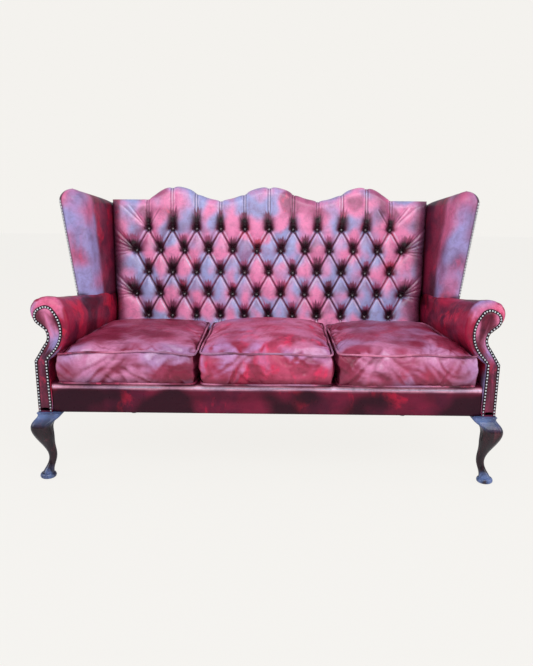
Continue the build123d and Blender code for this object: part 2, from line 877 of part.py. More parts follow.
def make_front_rail():
    """The front seat rail, its padded edge and its leather."""
    y0 = rail_front_y
    half = arm_inner_x(y0 + rail_thickness) + leather
    rail = box_between((-half, y0, leg_height), (half, y0 + rail_thickness, rail_top_z))
    save("seat_front_rail", rail)
    cover_half = arm_inner_x(arm_front_y) - seat_gap * 2
    front = front_y + leather - seat_gap
    back = front + lip_depth
    top = deck_top_z
    shelf_z = hessian_z + hessian_thickness
    arms = [arm_core, mirrored(arm_core)]
    bend = lip_radius * (1 - math.sqrt(2) / 2)

    def profile(inset):
        radius = lip_radius - inset
        cut = bend * radius / lip_radius
        low, high = front + inset, top - inset
        steps = [
            [(low, leg_height)],
            [(low, high - radius)],
            [(low + cut, high - cut), (low + radius, high)],
            [(back, high)],
            [(back, shelf_z)],
            [(y0 + rail_thickness, shelf_z)],
            [(y0 + rail_thickness, leg_height)],
        ]
        wire = closed_wire(steps, lambda p: Vector(-cover_half, p[0], p[1]))
        return Solid.extrude(Face(wire), Vector(2 * cover_half, 0, 0))

    skin = (profile(0.0) - profile(leather)) - arms
    save("front_rail_cover", skin)
    roll = profile(leather + seat_gap) - arms
    roll -= box_between((-arm_span, front_y, 0), (arm_span, back + overrun, shelf_z))
    save("front_edge_roll", roll)
    return back


def make_corner_blocks():
    """Glued blocks in the four corners of the seat frame."""
    y0 = rail_front_y + rail_thickness
    blocks = []
    corner_x = arm_inner_x(y0 + block_leg) - seat_gap
    front = prism_z([(corner_x, y0), (corner_x - block_leg, y0), (corner_x, y0 + block_leg)], leg_height, rail_top_z)
    rear_face = back_y(leg_height, back_frame_w + rail_thickness) - seat_gap
    inner = pad_seat_half - back_post_width - seat_gap
    rear = prism_z([(inner, rear_face), (inner - block_leg, rear_face), (inner, rear_face - block_leg)], leg_height, rail_top_z)
    for block in (front, rear):
        blocks += [block, mirrored(block)]
    save("corner_blocks", *blocks)


def make_springs():
    """Serpentine seat springs and the clips that hold them to the rails."""
    start_y = rail_front_y + rail_thickness / 2
    end_y = back_y(rail_top_z, back_frame_w + rail_thickness / 2)
    bend = (end_y - start_y) / (2 * spring_bends)
    half_run = spring_run / 2
    springs, clips = [], []
    for i in range(spring_count):
        x0 = (i - (spring_count - 1) / 2) * spring_pitch
        edges = []
        y, side = start_y, 1
        for turn in range(spring_bends + 1):
            near, far = x0 - side * half_run, x0 + side * half_run
            edges.append(Edge.make_line((near, y, spring_z), (far, y, spring_z)))
            if turn < spring_bends:
                out = far + side * bend
                ends = [(far, y, spring_z), (out, y + bend, spring_z), (far, y + 2 * bend, spring_z)]
                edges.append(Edge.make_three_point_arc(*ends))
                y += 2 * bend
                side = -side
        path = Wire(edges)
        section = Plane(origin=path.position_at(0), z_dir=path.tangent_at(0)) * Circle(wire_radius)
        springs.append(sweep(section.faces()[0], path=path).solids()[0])
        for clip_y in (start_y, end_y):
            low = (x0 - clip_width / 2, clip_y - clip_length / 2, rail_top_z)
            high = (x0 + clip_width / 2, clip_y + clip_length / 2, rail_top_z + clip_thickness)
            clips.append(box_between(low, high))
    save("seat_springs", *springs)
    save("spring_clips", *clips)


def leg_section(x, y, z, size, corner):
    """A level rounded square."""
    return Pos(x, y, z) * RectangleRounded(size, size, corner)


# Front leg: height share, diagonal reach in shares of its top, size share, corner share
cabriole_shares = [
    (1.000, 0.000, 1.000, 0.14),
    (0.900, 0.120, 1.000, 0.22),
    (0.745, 0.300, 0.925, 0.34),
    (0.575, 0.175, 0.700, 0.42),
    (0.410, 0.025, 0.440, 0.46),
    (0.300, -0.010, 0.370, 0.48),
    (0.205, 0.060, 0.370, 0.48),
    (0.120, 0.160, 0.480, 0.48),
    (0.050, 0.200, 0.560, 0.48),
]
# Pad foot: share of its radius, share of the way up to its widest line or from there to its top
pad_foot_low_shares = [(0.80, 0.00), (0.95, 0.38)]
pad_foot_high_shares = [(0.93, 0.58), (0.72, 1.00)]


def make_legs():
    """Cabriole front legs, raked rear legs, glides and bolts."""
    top_x = (arm_inner_x(arm_front_y) + arm_lower_outer_x(arm_front_y)) / 2 - leg_inset
    sections = []
    for up, reach, size, corner in cabriole_shares:
        aside = reach * front_leg_top
        width = size * front_leg_top
        sections.append(leg_section(top_x + aside, -aside, up * leg_height, width, corner * width))
    shaft = loft(sections)
    # The knee just reaches the front of the sofa's box
    top_y = -overall_depth / 2 - shaft.bounding_box().min.Y
    shaft = Pos(0, top_y, 0) * shaft
    foot_aside = cabriole_shares[-1][1] * front_leg_top
    foot_x, foot_y = top_x + foot_aside, top_y - foot_aside
    rim = pad_foot_radius
    low_rise = pad_foot_widest_z - glide_height
    high_rise = pad_foot_top_z - pad_foot_widest_z
    low = [(across * rim, glide_height + up * low_rise) for across, up in pad_foot_low_shares]
    high = [(across * rim, pad_foot_widest_z + up * high_rise) for across, up in pad_foot_high_shares]
    steps = [
        [(0.0, glide_height)],
        [low[0]],
        [low[1], (rim, pad_foot_widest_z)],
        high,
        [(0.0, pad_foot_top_z)],
    ]
    wire = closed_wire(steps, lambda p: Vector(p[0], 0, p[1]))
    pad = Pos(foot_x, foot_y, 0) * Solid.revolve(Face(wire), 360, Axis.Z)
    shaft -= box_between((0, -overall_depth, -leg_height), (arm_span, 0, shaft_foot_z))
    front_hole, rear_hole = bolt_holes()
    leg = shaft + pad - front_hole
    save_sides("front_leg", leg)
    rear_top = bolt_spots()[1]
    rear_foot = (rear_top[0], rear_top[1] + rear_leg_rake)
    rear = ruled_box(
        square_at(*rear_top, leg_height, rear_leg_top), square_at(*rear_foot, glide_height, rear_leg_foot)
    )
    save_sides("rear_leg", rear - rear_hole)
    glides = []
    for x, y in ((foot_x, foot_y), rear_foot):
        glide = Pos(x, y, glide_height / 2) * Cylinder(glide_radius, glide_height)
        glides += [glide, mirrored(glide)]
    save("foot_glides", *glides)
    bolts = [bolt_at(spot, bolt_radius) for spot in bolt_spots()]
    save("leg_bolts", *bolts, *[mirrored(b) for b in bolts])


def cushion_outline(corners, grow, z):
    """A level outline with rounded corners and sides that draw in between them.

    corners run anticlockwise from the front left; grow moves every side out.
    """
    centre = (sum(c[0] for c in corners) / 4, sum(c[1] for c in corners) / 4)
    moved = []
    for x, y in corners:
        moved.append((x + grow * math.copysign(1, x - centre[0]), y + grow * math.copysign(1, y - centre[1])))
    points = []
    for i, corner in enumerate(moved):
        before, after = moved[i - 1], moved[(i + 1) % 4]
        here = []
        for other in (before, after):
            length = math.dist(corner, other)
            share = cushion_corner / length
            here.append((corner[0] + (other[0] - corner[0]) * share, corner[1] + (other[1] - corner[1]) * share))
        points.append((here[0], corner, here[1]))
    steps = []
    for i, (arrive, corner, leave) in enumerate(points):
        last_leave = points[i - 1][2]
        middle = ((last_leave[0] + arrive[0]) / 2, (last_leave[1] + arrive[1]) / 2)
        away = math.dist(middle, centre)
        draw = cushion_draw / away
        pulled = (middle[0] + (centre[0] - middle[0]) * draw, middle[1] + (centre[1] - middle[1]) * draw)
        chord = ((arrive[0] + leave[0]) / 2, (arrive[1] + leave[1]) / 2)
        bulge = math.sqrt(2) - 1
        via = (chord[0] + (corner[0] - chord[0]) * bulge, chord[1] + (corner[1] - chord[1]) * bulge)
        steps += [[pulled, arrive], [via, leave]]
    return closed_wire(steps, lambda p: Vector(p[0], p[1], z))


# Crown: how far in, in shares of the half width, and how high, in shares of the crown
crown_shares = [(0.04, 0.22), (0.16, 0.52), (0.38, 0.82), (0.64, 0.97)]


def cushion_solid(corners, crown, inset):
    """A box cushion: a swelling band between the seams and a crowned top."""
    low = cushion_z + inset
    high = cushion_z + cushion_band - inset
    middle = (low + high) / 2
    wires = [
        cushion_outline(corners, -inset, low),
        cushion_outline(corners, cushion_bulge * quarter_bulge_share - inset, (low + middle) / 2),
        cushion_outline(corners, cushion_bulge - inset, middle),
        cushion_outline(corners, cushion_bulge * quarter_bulge_share - inset, (high + middle) / 2),
        cushion_outline(corners, -inset, high),
    ]
    half = min(corners[1][0] - corners[0][0], corners[2][0] - corners[3][0]) / 2
    for share_in, share_up in crown_shares:
        wires.append(cushion_outline(corners, -inset - share_in * half, high + share_up * crown))
    band = Solid.make_loft(wires[:5])
    top = Solid.make_loft(wires[4:])
    return band + top


def make_cushion(corners, crown):
    """One cushion's cover, its filling and its two rings of piping."""
    whole = cushion_solid(corners, crown, 0.0)
    cover = whole - cushion_solid(corners, crown, cover_thickness)
    filling = cushion_solid(corners, crown, cover_thickness + seat_gap)
    pipes = []
    low = cushion_z + piping_radius
    high = cushion_z + cushion_band
    for z, seat in ((low, piping_low_seat), (high, piping_high_seat)):
        wires = []
        for i in range(piping_steps + 1):
            angle = math.pi * (i / piping_steps - 0.5)
            grow = seat + piping_radius * math.cos(angle)
            wires.append(cushion_outline(corners, grow, z + piping_radius * math.sin(angle)))
        inside = Face(cushion_outline(corners, seat, z - 2 * piping_radius))
        core = Solid.extrude(inside, Vector(0, 0, 4 * piping_radius))
        pipes.append(Solid.make_loft(wires, ruled=True) - core)
    return {"cover": [cover], "filling": [filling], "piping": pipes}


def make_cushions():
    """Saves the centre cushion and the two at its sides, which mirror each other."""
    front = front_y - cushion_front
    rear = back_y(deck_top_z, pad_face_w) - 2 * joint_gap - cushion_bulge
    aside = piping_radius + joint_gap + cushion_bulge
    near = cushion_seam_x - aside
    far = cushion_seam_x + aside
    out_front = cushion_outer_front_x - piping_radius
    out_back = cushion_outer_back_x - piping_radius
    centre = make_cushion([(-near, front), (near, front), (near, rear), (-near, rear)], centre_crown)
    left = make_cushion([(-out_front, front), (-far, front), (-far, rear), (-out_back, rear)], side_crown)
    for part in centre:
        save("cushion_centre_" + part, *centre[part])
        save("cushion_left_" + part, *left[part])
        save("cushion_right_" + part, *[mirrored(shape) for shape in left[part]])


def make_deck(lip_back):
    """Hessian, deck pad, deck cover and the dust cover below."""
    deck_end = back_y(deck_top_z, pad_face_w) - joint_gap

    def sheet(start, end, low, high, aside):
        corners = [(arm_inner_x(start) - aside, start), (arm_inner_x(end) - aside, end)]
        return prism_z(corners + [(-x, y) for x, y in reversed(corners)], low, high)

    start = lip_back + seat_gap
    hessian_end = back_y(hessian_z, back_frame_w + back_frame_thickness) - joint_gap
    save("seat_hessian", sheet(rail_front_y, hessian_end, hessian_z, hessian_z + hessian_thickness, joint_gap))
    save("seat_deck_pad", sheet(start, deck_end, deck_pad_z, deck_cover_z, joint_gap))
    save("seat_deck_cover", sheet(start, deck_end, deck_cover_z, deck_top_z, joint_gap))
    leg_back = front_y + front_leg_top + facing_setback / 2
    leg_side = arm_inner_x(front_y) - front_leg_top / 2
    rear = back_y(leg_height, back_frame_w + back_frame_thickness) - rear_leg_top
    corners = [
        (leg_side, rail_front_y + rail_thickness / 2),
        (leg_side, leg_back),
        (arm_inner_x(leg_back), leg_back),
        (arm_inner_x(rear), rear),
    ]
    outline = corners + [(-x, y) for x, y in reversed(corners)]
    save("dust_cover", prism_z(outline, leg_height - dust_thickness, leg_height))


def main():
    os.makedirs("parts", exist_ok=True)
    nail = make_nail()
    wing_post = make_wing_post()
    make_arm(wing_post)
    print("facing nails a side", make_facings(nail))
    make_wings(wing_post, nail)
    make_tufted_back()
    make_back_frame()
    lip_back = make_front_rail()
    make_corner_blocks()
    make_springs()
    make_deck(lip_back)
    make_legs()
    make_cushions()


main()
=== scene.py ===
from math import atan2, copysign, cos, hypot, pi, radians, sin, tan

import bpy
import numpy as np
from mathutils import Matrix, Vector, noise


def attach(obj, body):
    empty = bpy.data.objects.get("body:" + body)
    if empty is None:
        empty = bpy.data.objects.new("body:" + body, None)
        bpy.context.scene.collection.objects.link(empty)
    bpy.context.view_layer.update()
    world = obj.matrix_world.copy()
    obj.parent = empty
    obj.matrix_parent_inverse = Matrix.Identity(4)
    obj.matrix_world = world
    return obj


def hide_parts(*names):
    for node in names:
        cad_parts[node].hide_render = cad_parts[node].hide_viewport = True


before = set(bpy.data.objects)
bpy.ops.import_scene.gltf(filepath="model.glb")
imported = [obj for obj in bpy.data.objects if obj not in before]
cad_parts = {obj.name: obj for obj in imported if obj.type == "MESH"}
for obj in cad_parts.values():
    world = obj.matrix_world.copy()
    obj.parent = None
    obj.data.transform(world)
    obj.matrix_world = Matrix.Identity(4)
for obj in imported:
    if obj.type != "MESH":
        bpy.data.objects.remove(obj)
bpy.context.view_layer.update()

# A three-seat wing-back chesterfield sofa in rubbed oxblood leather.
# Metres, in the CAD frame: +X to the viewer's right, +Y to the back, +Z up, floor at Z = 0.

FRONT_Y = -0.390
REAR_Y = 0.435
LEG_Z = 0.268
DECK_Z = 0.3853
BACK_Z = 1.095
RECLINE = radians(10.1)
SIDES = {"left": -1.0, "right": 1.0}


# Colour and node helpers

def linear(code):
    """Linear RGBA of a hex colour."""
    out = []
    for i in (0, 2, 4):
        c = int(code[i:i + 2], 16) / 255
        out.append(c / 12.92 if c <= 0.04045 else ((c + 0.055) / 1.055) ** 2.4)
    return (*out, 1.0)


class Nodes:
    """Builds one material's nodes, each call returning an output socket."""

    def __init__(self, name):
        self.material = bpy.data.materials.new(name)
        self.material.use_nodes = True
        self.tree = self.material.node_tree
        self.tree.nodes.clear()
        self.shader = self.tree.nodes.new("ShaderNodeBsdfPrincipled")
        self.add("OutputMaterial", {"Surface": self.shader.outputs[0]})
        self.coords = self.add("TexCoord", {})["Object"]

    def put(self, value, socket):
        """Links another node's output, or sets a constant or a hex colour."""
        if isinstance(value, bpy.types.NodeSocket):
            self.tree.links.new(value, socket)
        else:
            socket.default_value = linear(value) if isinstance(value, str) else value

    def add(self, kind, inputs, **settings):
        """The outputs of a new node with these settings and inputs."""
        node = self.tree.nodes.new("ShaderNode" + kind)
        for key, value in settings.items():
            setattr(node, key, value)
        for key, value in inputs.items():
            self.put(value, node.inputs[key])
        return node.outputs

    def stretch(self, scale, turn=(0, 0, 0)):
        turned = [radians(a) for a in turn]
        return self.add("Mapping", {"Vector": self.coords, "Scale": scale, "Rotation": turned})[0]

    def noise(self, scale, detail=3.0, rough=0.5, distort=0.0, vector=None):
        grain = {"Scale": scale, "Detail": detail, "Roughness": rough, "Distortion": distort}
        return self.add("TexNoise", {"Vector": vector or self.coords, **grain})[0]

    def ramp(self, value, low, high, start=0.0, end=1.0):
        limits = {"From Min": low, "From Max": high, "To Min": start, "To Max": end}
        return self.add("MapRange", {"Value": value, **limits}, interpolation_type="SMOOTHSTEP")[0]

    def mix(self, amount, first, second):
        return self.add("Mix", {0: amount, 6: first, 7: second}, data_type="RGBA")[2]

    def math(self, kind, first, second=0.0):
        return self.add("Math", {0: first, 1: second}, operation=kind)[0]

    def times(self, first, second):
        return self.math("MULTIPLY", first, second)

    def swing(self, value, amount):
        """A noise's swing about its middle, scaled."""
        return self.times(self.math("SUBTRACT", value, 0.5), amount)

    def attribute(self, name):
        return self.add("Attribute", {}, attribute_name=name)["Fac"]

    def bump(self, height, distance, strength, normal=None):
        inputs = {"Strength": strength, "Distance": distance, "Height": height}
        if normal:
            inputs["Normal"] = normal
        return self.add("Bump", inputs)[0]

    def finish(self, color, rough, normal=None, coat=0.0, coat_rough=0.2, metallic=0.0, specular=0.5):
        inputs = {"Base Color": color, "Roughness": rough, "Coat Weight": coat, "Coat Roughness": coat_rough}
        inputs.update({"Metallic": metallic, "Specular IOR Level": specular})
        if normal:
            inputs["Normal"] = normal
        for key, value in inputs.items():
            self.put(value, self.shader.inputs[key])
        return self.material


def leather(name, colours, patch, bright_share, roughness, coat, wrinkle, specular):
    """Antique leather: dark dye with bright red patches showing through with age, a painted pale sheen where
    "light" is high (pink where "warm" is high, lilac elsewhere), a near-white painted highlight above that,
    and near-black where "dark" is high: painted shade in folds, creases and gaps, with darker dye in places."""
    dark, mid, bright, pink, lilac, fold_shade = colours.split()
    n = Nodes(name)
    cloudy = n.noise(patch, 4.0, 0.62, 0.35)
    streak = n.noise(patch * 1.3, 5.0, 0.62, 0.3, n.stretch((1.4, 1.0, 0.9), (15, 25, 35)))
    fine = n.noise(90.0, 3.0, 0.6)
    color = n.mix(n.ramp(cloudy, 0.38, 0.60), dark, mid)
    edge = 0.50 + 0.12 * (1 - bright_share)
    color = n.mix(n.times(n.ramp(streak, edge, edge + 0.12), 0.9), color, bright)
    # Pink or lilac painted sheen, a painted reflection of the sky, mixed in where "light" is high
    tint = n.math("ADD", n.attribute("warm"), n.swing(streak, 0.8))
    pale = n.mix(n.ramp(tint, 0.05, 0.95), lilac, pink)
    painted_sheen = n.math("ADD", n.attribute("light"), n.swing(cloudy, 0.35))
    color = n.mix(n.ramp(painted_sheen, 0.02, 0.98), color, pale)
    # Near-white painted highlight where "light" runs above 1
    color = n.mix(n.ramp(painted_sheen, 1.0, 1.7), color, "f6dcf2")
    brushed = n.noise(30.0, 5.0, 0.68, 0.5)
    color = n.mix(n.ramp(brushed, 0.42, 0.66, 0.0, 0.26), color, dark)
    color = n.mix(n.ramp(fine, 0.35, 0.75, 0.0, 0.13), color, dark)
    # Near-black where "dark" is high: painted shade in folds, creases and gaps, with darker dye in places
    color = n.mix(n.attribute("dark"), color, fold_shade)
    pores = n.add("TexVoronoi", {"Vector": n.coords, "Scale": 520.0})[0]
    normal = n.bump(n.noise(38.0, 4.0, 0.65, 0.6), wrinkle, 0.8, n.bump(pores, 0.00022, 0.55))
    rough = n.ramp(fine, 0.3, 0.8, roughness - 0.05, roughness + 0.10)
    return n.finish(color, rough, normal, coat, 0.22, specular=specular)


def plain_wood(name, dark, light):
    """Grained wood without a finish."""
    n = Nodes(name)
    grain = n.noise(56.0, 6.0, 0.7, 1.2, n.stretch((1.0, 1.0, 0.12)))
    color = n.mix(n.ramp(grain, 0.3, 0.72), dark, light)
    color = n.mix(n.ramp(n.noise(7.0, 3.0), 0.42, 0.7, 0.0, 0.55), color, dark)
    return n.finish(color, 0.6, n.bump(grain, 0.0004, 0.35), coat_rough=0.12)


def polished_leg(name):
    """Dark mahogany with a bluish painted reflection of the sky on its knee and its foot."""
    n = Nodes(name)
    height = n.add("SeparateXYZ", {0: n.coords})[2]
    grain = n.noise(60.0, 6.0, 0.7, 1.2, n.stretch((1.0, 1.0, 0.12)))
    tone = n.noise(9.0, 3.0)
    streaks = n.noise(26.0, 4.0, 0.6, 0.8, n.stretch((1.0, 1.0, 0.25)))
    color = n.mix(n.ramp(grain, 0.3, 0.72), "0d0a10", "35141c")
    color = n.mix(n.ramp(streaks, 0.52, 0.70, 0.0, 0.6), color, "6a2f38")
    # Painted reflection: bluish sheen on the knee's top and on the foot
    knee = n.times(n.ramp(height, 0.215, 0.262), n.ramp(tone, 0.34, 0.60, 0.25, 0.75))
    foot = n.times(n.ramp(height, 0.060, 0.026), n.ramp(streaks, 0.38, 0.60, 0.05, 0.75))
    color = n.mix(n.math("MAXIMUM", knee, foot), color, "6f86b8")
    rough = n.ramp(grain, 0.2, 0.8, 0.16, 0.26)
    return n.finish(color, rough, n.bump(grain, 0.0004, 0.3), 0.12, 0.12, specular=0.35)


def woven(name, dark, light, scale=600.0):
    """Plain woven or felted cloth."""
    n = Nodes(name)
    warp = n.add("TexWave", {"Vector": n.coords, "Scale": scale / 6, "Distortion": 1.5})[1]
    color = n.mix(n.ramp(n.noise(30.0, 4.0), 0.3, 0.7), dark, light)
    return n.finish(color, 0.9, n.bump(warp, 0.0004, 0.5), specular=0.2)


def metal(name, tone, tarnish, roughness):
    """Bright metal, dulled in places."""
    n = Nodes(name)
    spots = n.noise(260.0, 3.0, 0.6)
    color = n.mix(n.ramp(spots, 0.5, 0.75, 0.0, 0.6), tone, tarnish)
    rough = n.ramp(spots, 0.3, 0.8, roughness, roughness + 0.2)
    return n.finish(color, rough, n.bump(spots, 0.0002, 0.3), metallic=1.0)


def domed_nails(name, outward, low, high):
    """Nail heads with a painted highlight on the crown and near-black painted shade round the rim, by the way
    each point faces.
    """
    n = Nodes(name)
    split = n.add("SeparateXYZ", {0: n.add("TexCoord", {})["Normal"]})
    across = n.times(n.math("ABSOLUTE", split[0]), outward[0])
    facing = n.math("ADD", across, n.times(split[1], outward[1]))
    spots = n.noise(260.0, 3.0, 0.6)
    # Painted highlight where the head faces the given way, painted shade elsewhere, dulled by tarnish spots
    sheen_level = n.times(n.ramp(facing, low, high), n.ramp(spots, 0.35, 0.75, 1.0, 0.7))
    color = n.mix(sheen_level, "120e12", "f4f2f4")
    return n.finish(color, n.ramp(facing, low, high, 0.6, 0.3), metallic=0.75, specular=0.3)


# Each leather's dark, middle and bright dye, the pink and lilac of its painted sheen and the near-black
# painted shade of its folds;
# then its patches' scale, share of bright dye, roughness, coat, depth of wrinkles and specular level
LEATHERS = {
    "back_leather": ("74304c aa4870 dc4662 ff92be aeb0e0 14050a", 6.5, 0.55, 0.30, 0.28, 0.0010, 0.40),
    "arm_leather": ("5c152f ae1f40 e02244 ee6e92 a898cc 260815", 7.0, 0.90, 0.34, 0.15, 0.0010, 0.22),
    "wing_leather": ("5a1c34 942442 cc1e3e e2749c aba2d6 361426", 6.0, 0.85, 0.34, 0.15, 0.0010, 0.22),
    "rail_leather": ("5a1630 7c1a36 c8203f ffb0c8 d8a8c4 2a0a18", 5.0, 0.55, 0.32, 0.06, 0.0010, 0.13),
    "facing_leather": ("54182f 8c2742 b82c48 e27ea2 a496cc 1c0810", 9.0, 0.60, 0.34, 0.15, 0.0010, 0.22),
    "cushion_leather": ("86203a ac3f5e c03a58 dc86ac bd8ab6 3a0a1a", 6.0, 0.50, 0.42, 0.12, 0.0014, 0.28),
    "cushion_red": ("a02845 c84a6a ea3560 e484aa c48abc 3a0a1a", 6.0, 0.75, 0.42, 0.12, 0.0014, 0.28),
    "piping_leather": ("4a1224 8e2a48 cc4468 dc809e b07898 240814", 11.0, 0.60, 0.35, 0.15, 0.0010, 0.25),
    "button_leather": ("1d0c14 3a1824 5a2638 8a6f95 77709a 140a10", 20.0, 0.30, 0.22, 0.60, 0.0004, 0.50),
    "panel_leather": ("3c1024 5e1630 a82240 b0607f 8a7aa0 280a17", 6.0, 0.40, 0.34, 0.22, 0.0010, 0.25),
}
for leather_name, look in LEATHERS.items():
    LEATHERS[leather_name] = leather(leather_name, *look)

frame_wood = plain_wood("frame_wood", "8a6a45", "c9a673")
leg_wood = polished_leg("leg_wood")
spring_metal = metal("spring_metal", "7d7d80", "4a4644", 0.35)
jute = woven("jute", "8a6c42", "b89763")
hair = woven("hair", "6a5946", "8f7c62", 200.0)
lining = woven("lining", "15110f", "2a2322", 900.0)

# The look of each CAD node whose name holds the word; all others are the frame's wood
cad_materials = {
    "facing_nails": domed_nails("nail_metal", (0.0, -1.0), 0.80, 0.95),
    "wing_nails": domed_nails("wing_nail_metal", (0.62, -0.78), 0.50, 0.70),
    "glides": metal("glide_metal", "a8a6a8", "6a6468", 0.30),
    "springs": spring_metal,
    "clips": spring_metal,
    "bolts": spring_metal,
    "leg_left": leg_wood,
    "leg_right": leg_wood,
    "webbing": jute,
    "hessian": jute,
    "stuffing": hair,
    "edge_roll": hair,
    "deck_pad": hair,
    "filling": woven("down", "cfc8b8", "e6e0d2", 300.0),
    "dust_cover": lining,
    "deck_cover": lining,
    "buttons": LEATHERS["button_leather"],
}
for node_name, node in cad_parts.items():
    chosen = next((m for key, m in cad_materials.items() if key in node_name), frame_wood)
    node.data.materials.clear()
    node.data.materials.append(chosen)


# Mesh helpers

def unit(x):
    """x held between 0 and 1."""
    return np.clip(x, 0, 1)


def ease(x, low, high):
    """0 below low and 1 above high, with a smooth rise between them."""
    t = unit((x - low) / (high - low))
    return t * t * (3 - 2 * t)


def hump(x, width, centre=0.0):
    """1 at a centre, fading smoothly over a width on both sides."""
    return np.exp(-(((x - centre) / width) ** 2))


def cloud(points, scale, seed=0.0):
    """Smooth noise about zero at each point of a list or a grid."""
    places = points.reshape(-1, 3) * scale + np.array([seed, -seed, 2 * seed])
    return np.array([noise.noise(Vector(place)) for place in places]).reshape(points.shape[:-1])


def place_object(name, data):
    """A new object in the scene."""
    placed = bpy.data.objects.new(name, data)
    bpy.context.scene.collection.objects.link(placed)
    return placed


def finish_skin(mesh, wear_and_painted_light, material):
    """Gives a mesh its shares of painted sheen, painted shade and dye at each point, its material and smooth
    shading.
    """
    for key, values in wear_and_painted_light.items():
        layer = mesh.attributes.new(key, "FLOAT", "POINT")
        layer.data.foreach_set("value", np.asarray(values, np.float32).ravel())
    mesh.materials.append(material)
    mesh.polygons.foreach_set("use_smooth", [True] * len(mesh.polygons))
    mesh.update()


def make_mesh(name, points, faces, material, wear_and_painted_light, replaces, body="frame"):
    """A mesh object that rides on a body and stands for CAD nodes."""
    mesh = bpy.data.meshes.new(name)
    mesh.from_pydata([tuple(p) for p in points], [], [tuple(f) for f in faces])
    if "warm" not in wear_and_painted_light:
        wear_and_painted_light["warm"] = unit(0.5 + 1.7 * cloud(points, 6.0, 60.0))
    finish_skin(mesh, wear_and_painted_light, LEATHERS[material])
    piece = place_object(name, mesh)
    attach(piece, body)
    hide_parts(*replaces)
    return piece


def make_loop(name, grid, material, wear_and_painted_light, replaces, caps=("face", "face")):
    """A closed solid from rows of closed loops; each end is a flat face, a fan or a strip across."""
    rows, count = grid.shape[:2]
    points = grid.reshape(-1, 3)
    values = {key: np.broadcast_to(v, (rows, count)).ravel() for key, v in wear_and_painted_light.items()}
    faces = []
    for start in range(0, (rows - 1) * count, count):
        for j in range(count):
            k = (j + 1) % count
            faces.append((start + j, start + k, start + count + k, start + count + j))
    for kind, row, order in ((caps[0], 0, -1), (caps[1], rows - 1, 1)):
        loop = [row * count + j for j in range(count)]
        if kind == "face":
            faces.append(tuple(loop[::order]))
        elif kind == "fan":
            hub = len(points)
            points = np.concatenate([points, [grid[row].mean(0)]])
            for key, v in values.items():
                values[key] = np.append(v, v[row * count:(row + 1) * count].mean())
            faces += [(loop[j], loop[(j + 1) % count], hub)[::order] for j in range(count)]
        else:
            for j in range(count // 2 - 1):
                faces.append((loop[j], loop[j + 1], loop[count - 2 - j], loop[count - 1 - j])[::order])
            if count % 2:
                h = count // 2
                faces.append((loop[h - 1], loop[h], loop[h + 1])[::order])
    volume = 0.0
    for face in faces:
        a = points[face[0]]
        for b, c in zip(face[1:-1], face[2:]):
            volume += np.dot(a, np.cross(points[b], points[c]))
    if volume < 0:
        faces = [face[::-1] for face in faces]
    return make_mesh(name, points, faces, material, values, replaces)


# Camera, from the photograph's perspective

CAMERA_PLACE = (0.0268, -2.6892, 1.0896)
CAMERA_ANGLES = (-0.677, 12.422, 0.381)
FOCAL_LENGTH, LONG_SIDE = 640.0, 666.0
SENSOR_WIDTH = 36.0


def make_camera():
    yaw, pitch, roll = (radians(a) for a in CAMERA_ANGLES)
    turn = Matrix.Rotation(-yaw, 4, "Z") @ Matrix.Rotation(pi / 2 - pitch, 4, "X")
    data = bpy.data.cameras.new("camera")
    data.sensor_width = SENSOR_WIDTH
    data.lens = FOCAL_LENGTH * SENSOR_WIDTH / LONG_SIDE
    camera = place_object("camera", data)
    camera.matrix_world = Matrix.Translation(CAMERA_PLACE) @ turn @ Matrix.Rotation(roll, 4, "Z")
    bpy.context.scene.camera = camera


make_camera()


# Floor, sky and lamps

BACKDROP = linear("f4f2ee")
FLOOR_GLOW = 1.015
FLOOR_SHARE = 0.94
FLOOR_HALF = 14.0
SKY_COLOR, SKY_STRENGTH = (0.80, 0.87, 1.0, 1.0), 0.42


def seen_and_lit(owner, output, lit, seen, share):
    """Shows the camera one shader by a share, and leaves another to the light."""
    owner.use_nodes = True
    tree = owner.node_tree
    tree.nodes.clear()
    kinds = (output, "MixShader", "Math", "LightPath", lit[0], seen[0])
    out, mix, part, path, first, second = (tree.nodes.new("ShaderNode" + kind) for kind in kinds)
    for node, look in ((first, lit), (second, seen)):
        node.inputs["Color"].default_value = look[1]
        if len(look) > 2:
            node.inputs["Strength"].default_value = look[2]
    part.operation = "MULTIPLY"
    part.inputs[1].default_value = share
    tree.links.new(path.outputs["Is Camera Ray"], part.inputs[0])
    for k, node in enumerate((part, first, second)):
        tree.links.new(node.outputs[0], mix.inputs[k])
    tree.links.new(mix.outputs[0], out.inputs["Surface"])


def pale_stage():
    material = bpy.data.materials.new("pale_floor")
    glow = ("Emission", BACKDROP, FLOOR_GLOW)
    seen_and_lit(material, "OutputMaterial", ("BsdfDiffuse", BACKDROP), glow, FLOOR_SHARE)
    mesh = bpy.data.meshes.new("floor")
    corners = [(x * FLOOR_HALF, y * FLOOR_HALF, 0) for x, y in ((-1, -1), (1, -1), (1, 1), (-1, 1))]
    mesh.from_pydata(corners, [], [(0, 1, 2, 3)])
    mesh.materials.append(material)
    place_object("floor", mesh)
    world = bpy.data.worlds.new("world")
    bpy.context.scene.world = world
    sky = ("Background", SKY_COLOR, SKY_STRENGTH)
    seen_and_lit(world, "OutputWorld", sky, ("Background", BACKDROP), 1.0)


def lamp(name, place, size, power, color=(1, 1, 1)):
    """A rectangular lamp aimed at the sofa's middle."""
    data = bpy.data.lights.new(name, "AREA")
    data.shape = "RECTANGLE"
    data.size, data.size_y = size
    data.energy = power
    data.color = color
    light = place_object(name, data)
    light.location = place
    light.rotation_mode = "QUATERNION"
    light.rotation_quaternion = (Vector((0, 0, 0.6)) - Vector(place)).to_track_quat("-Z", "Y")


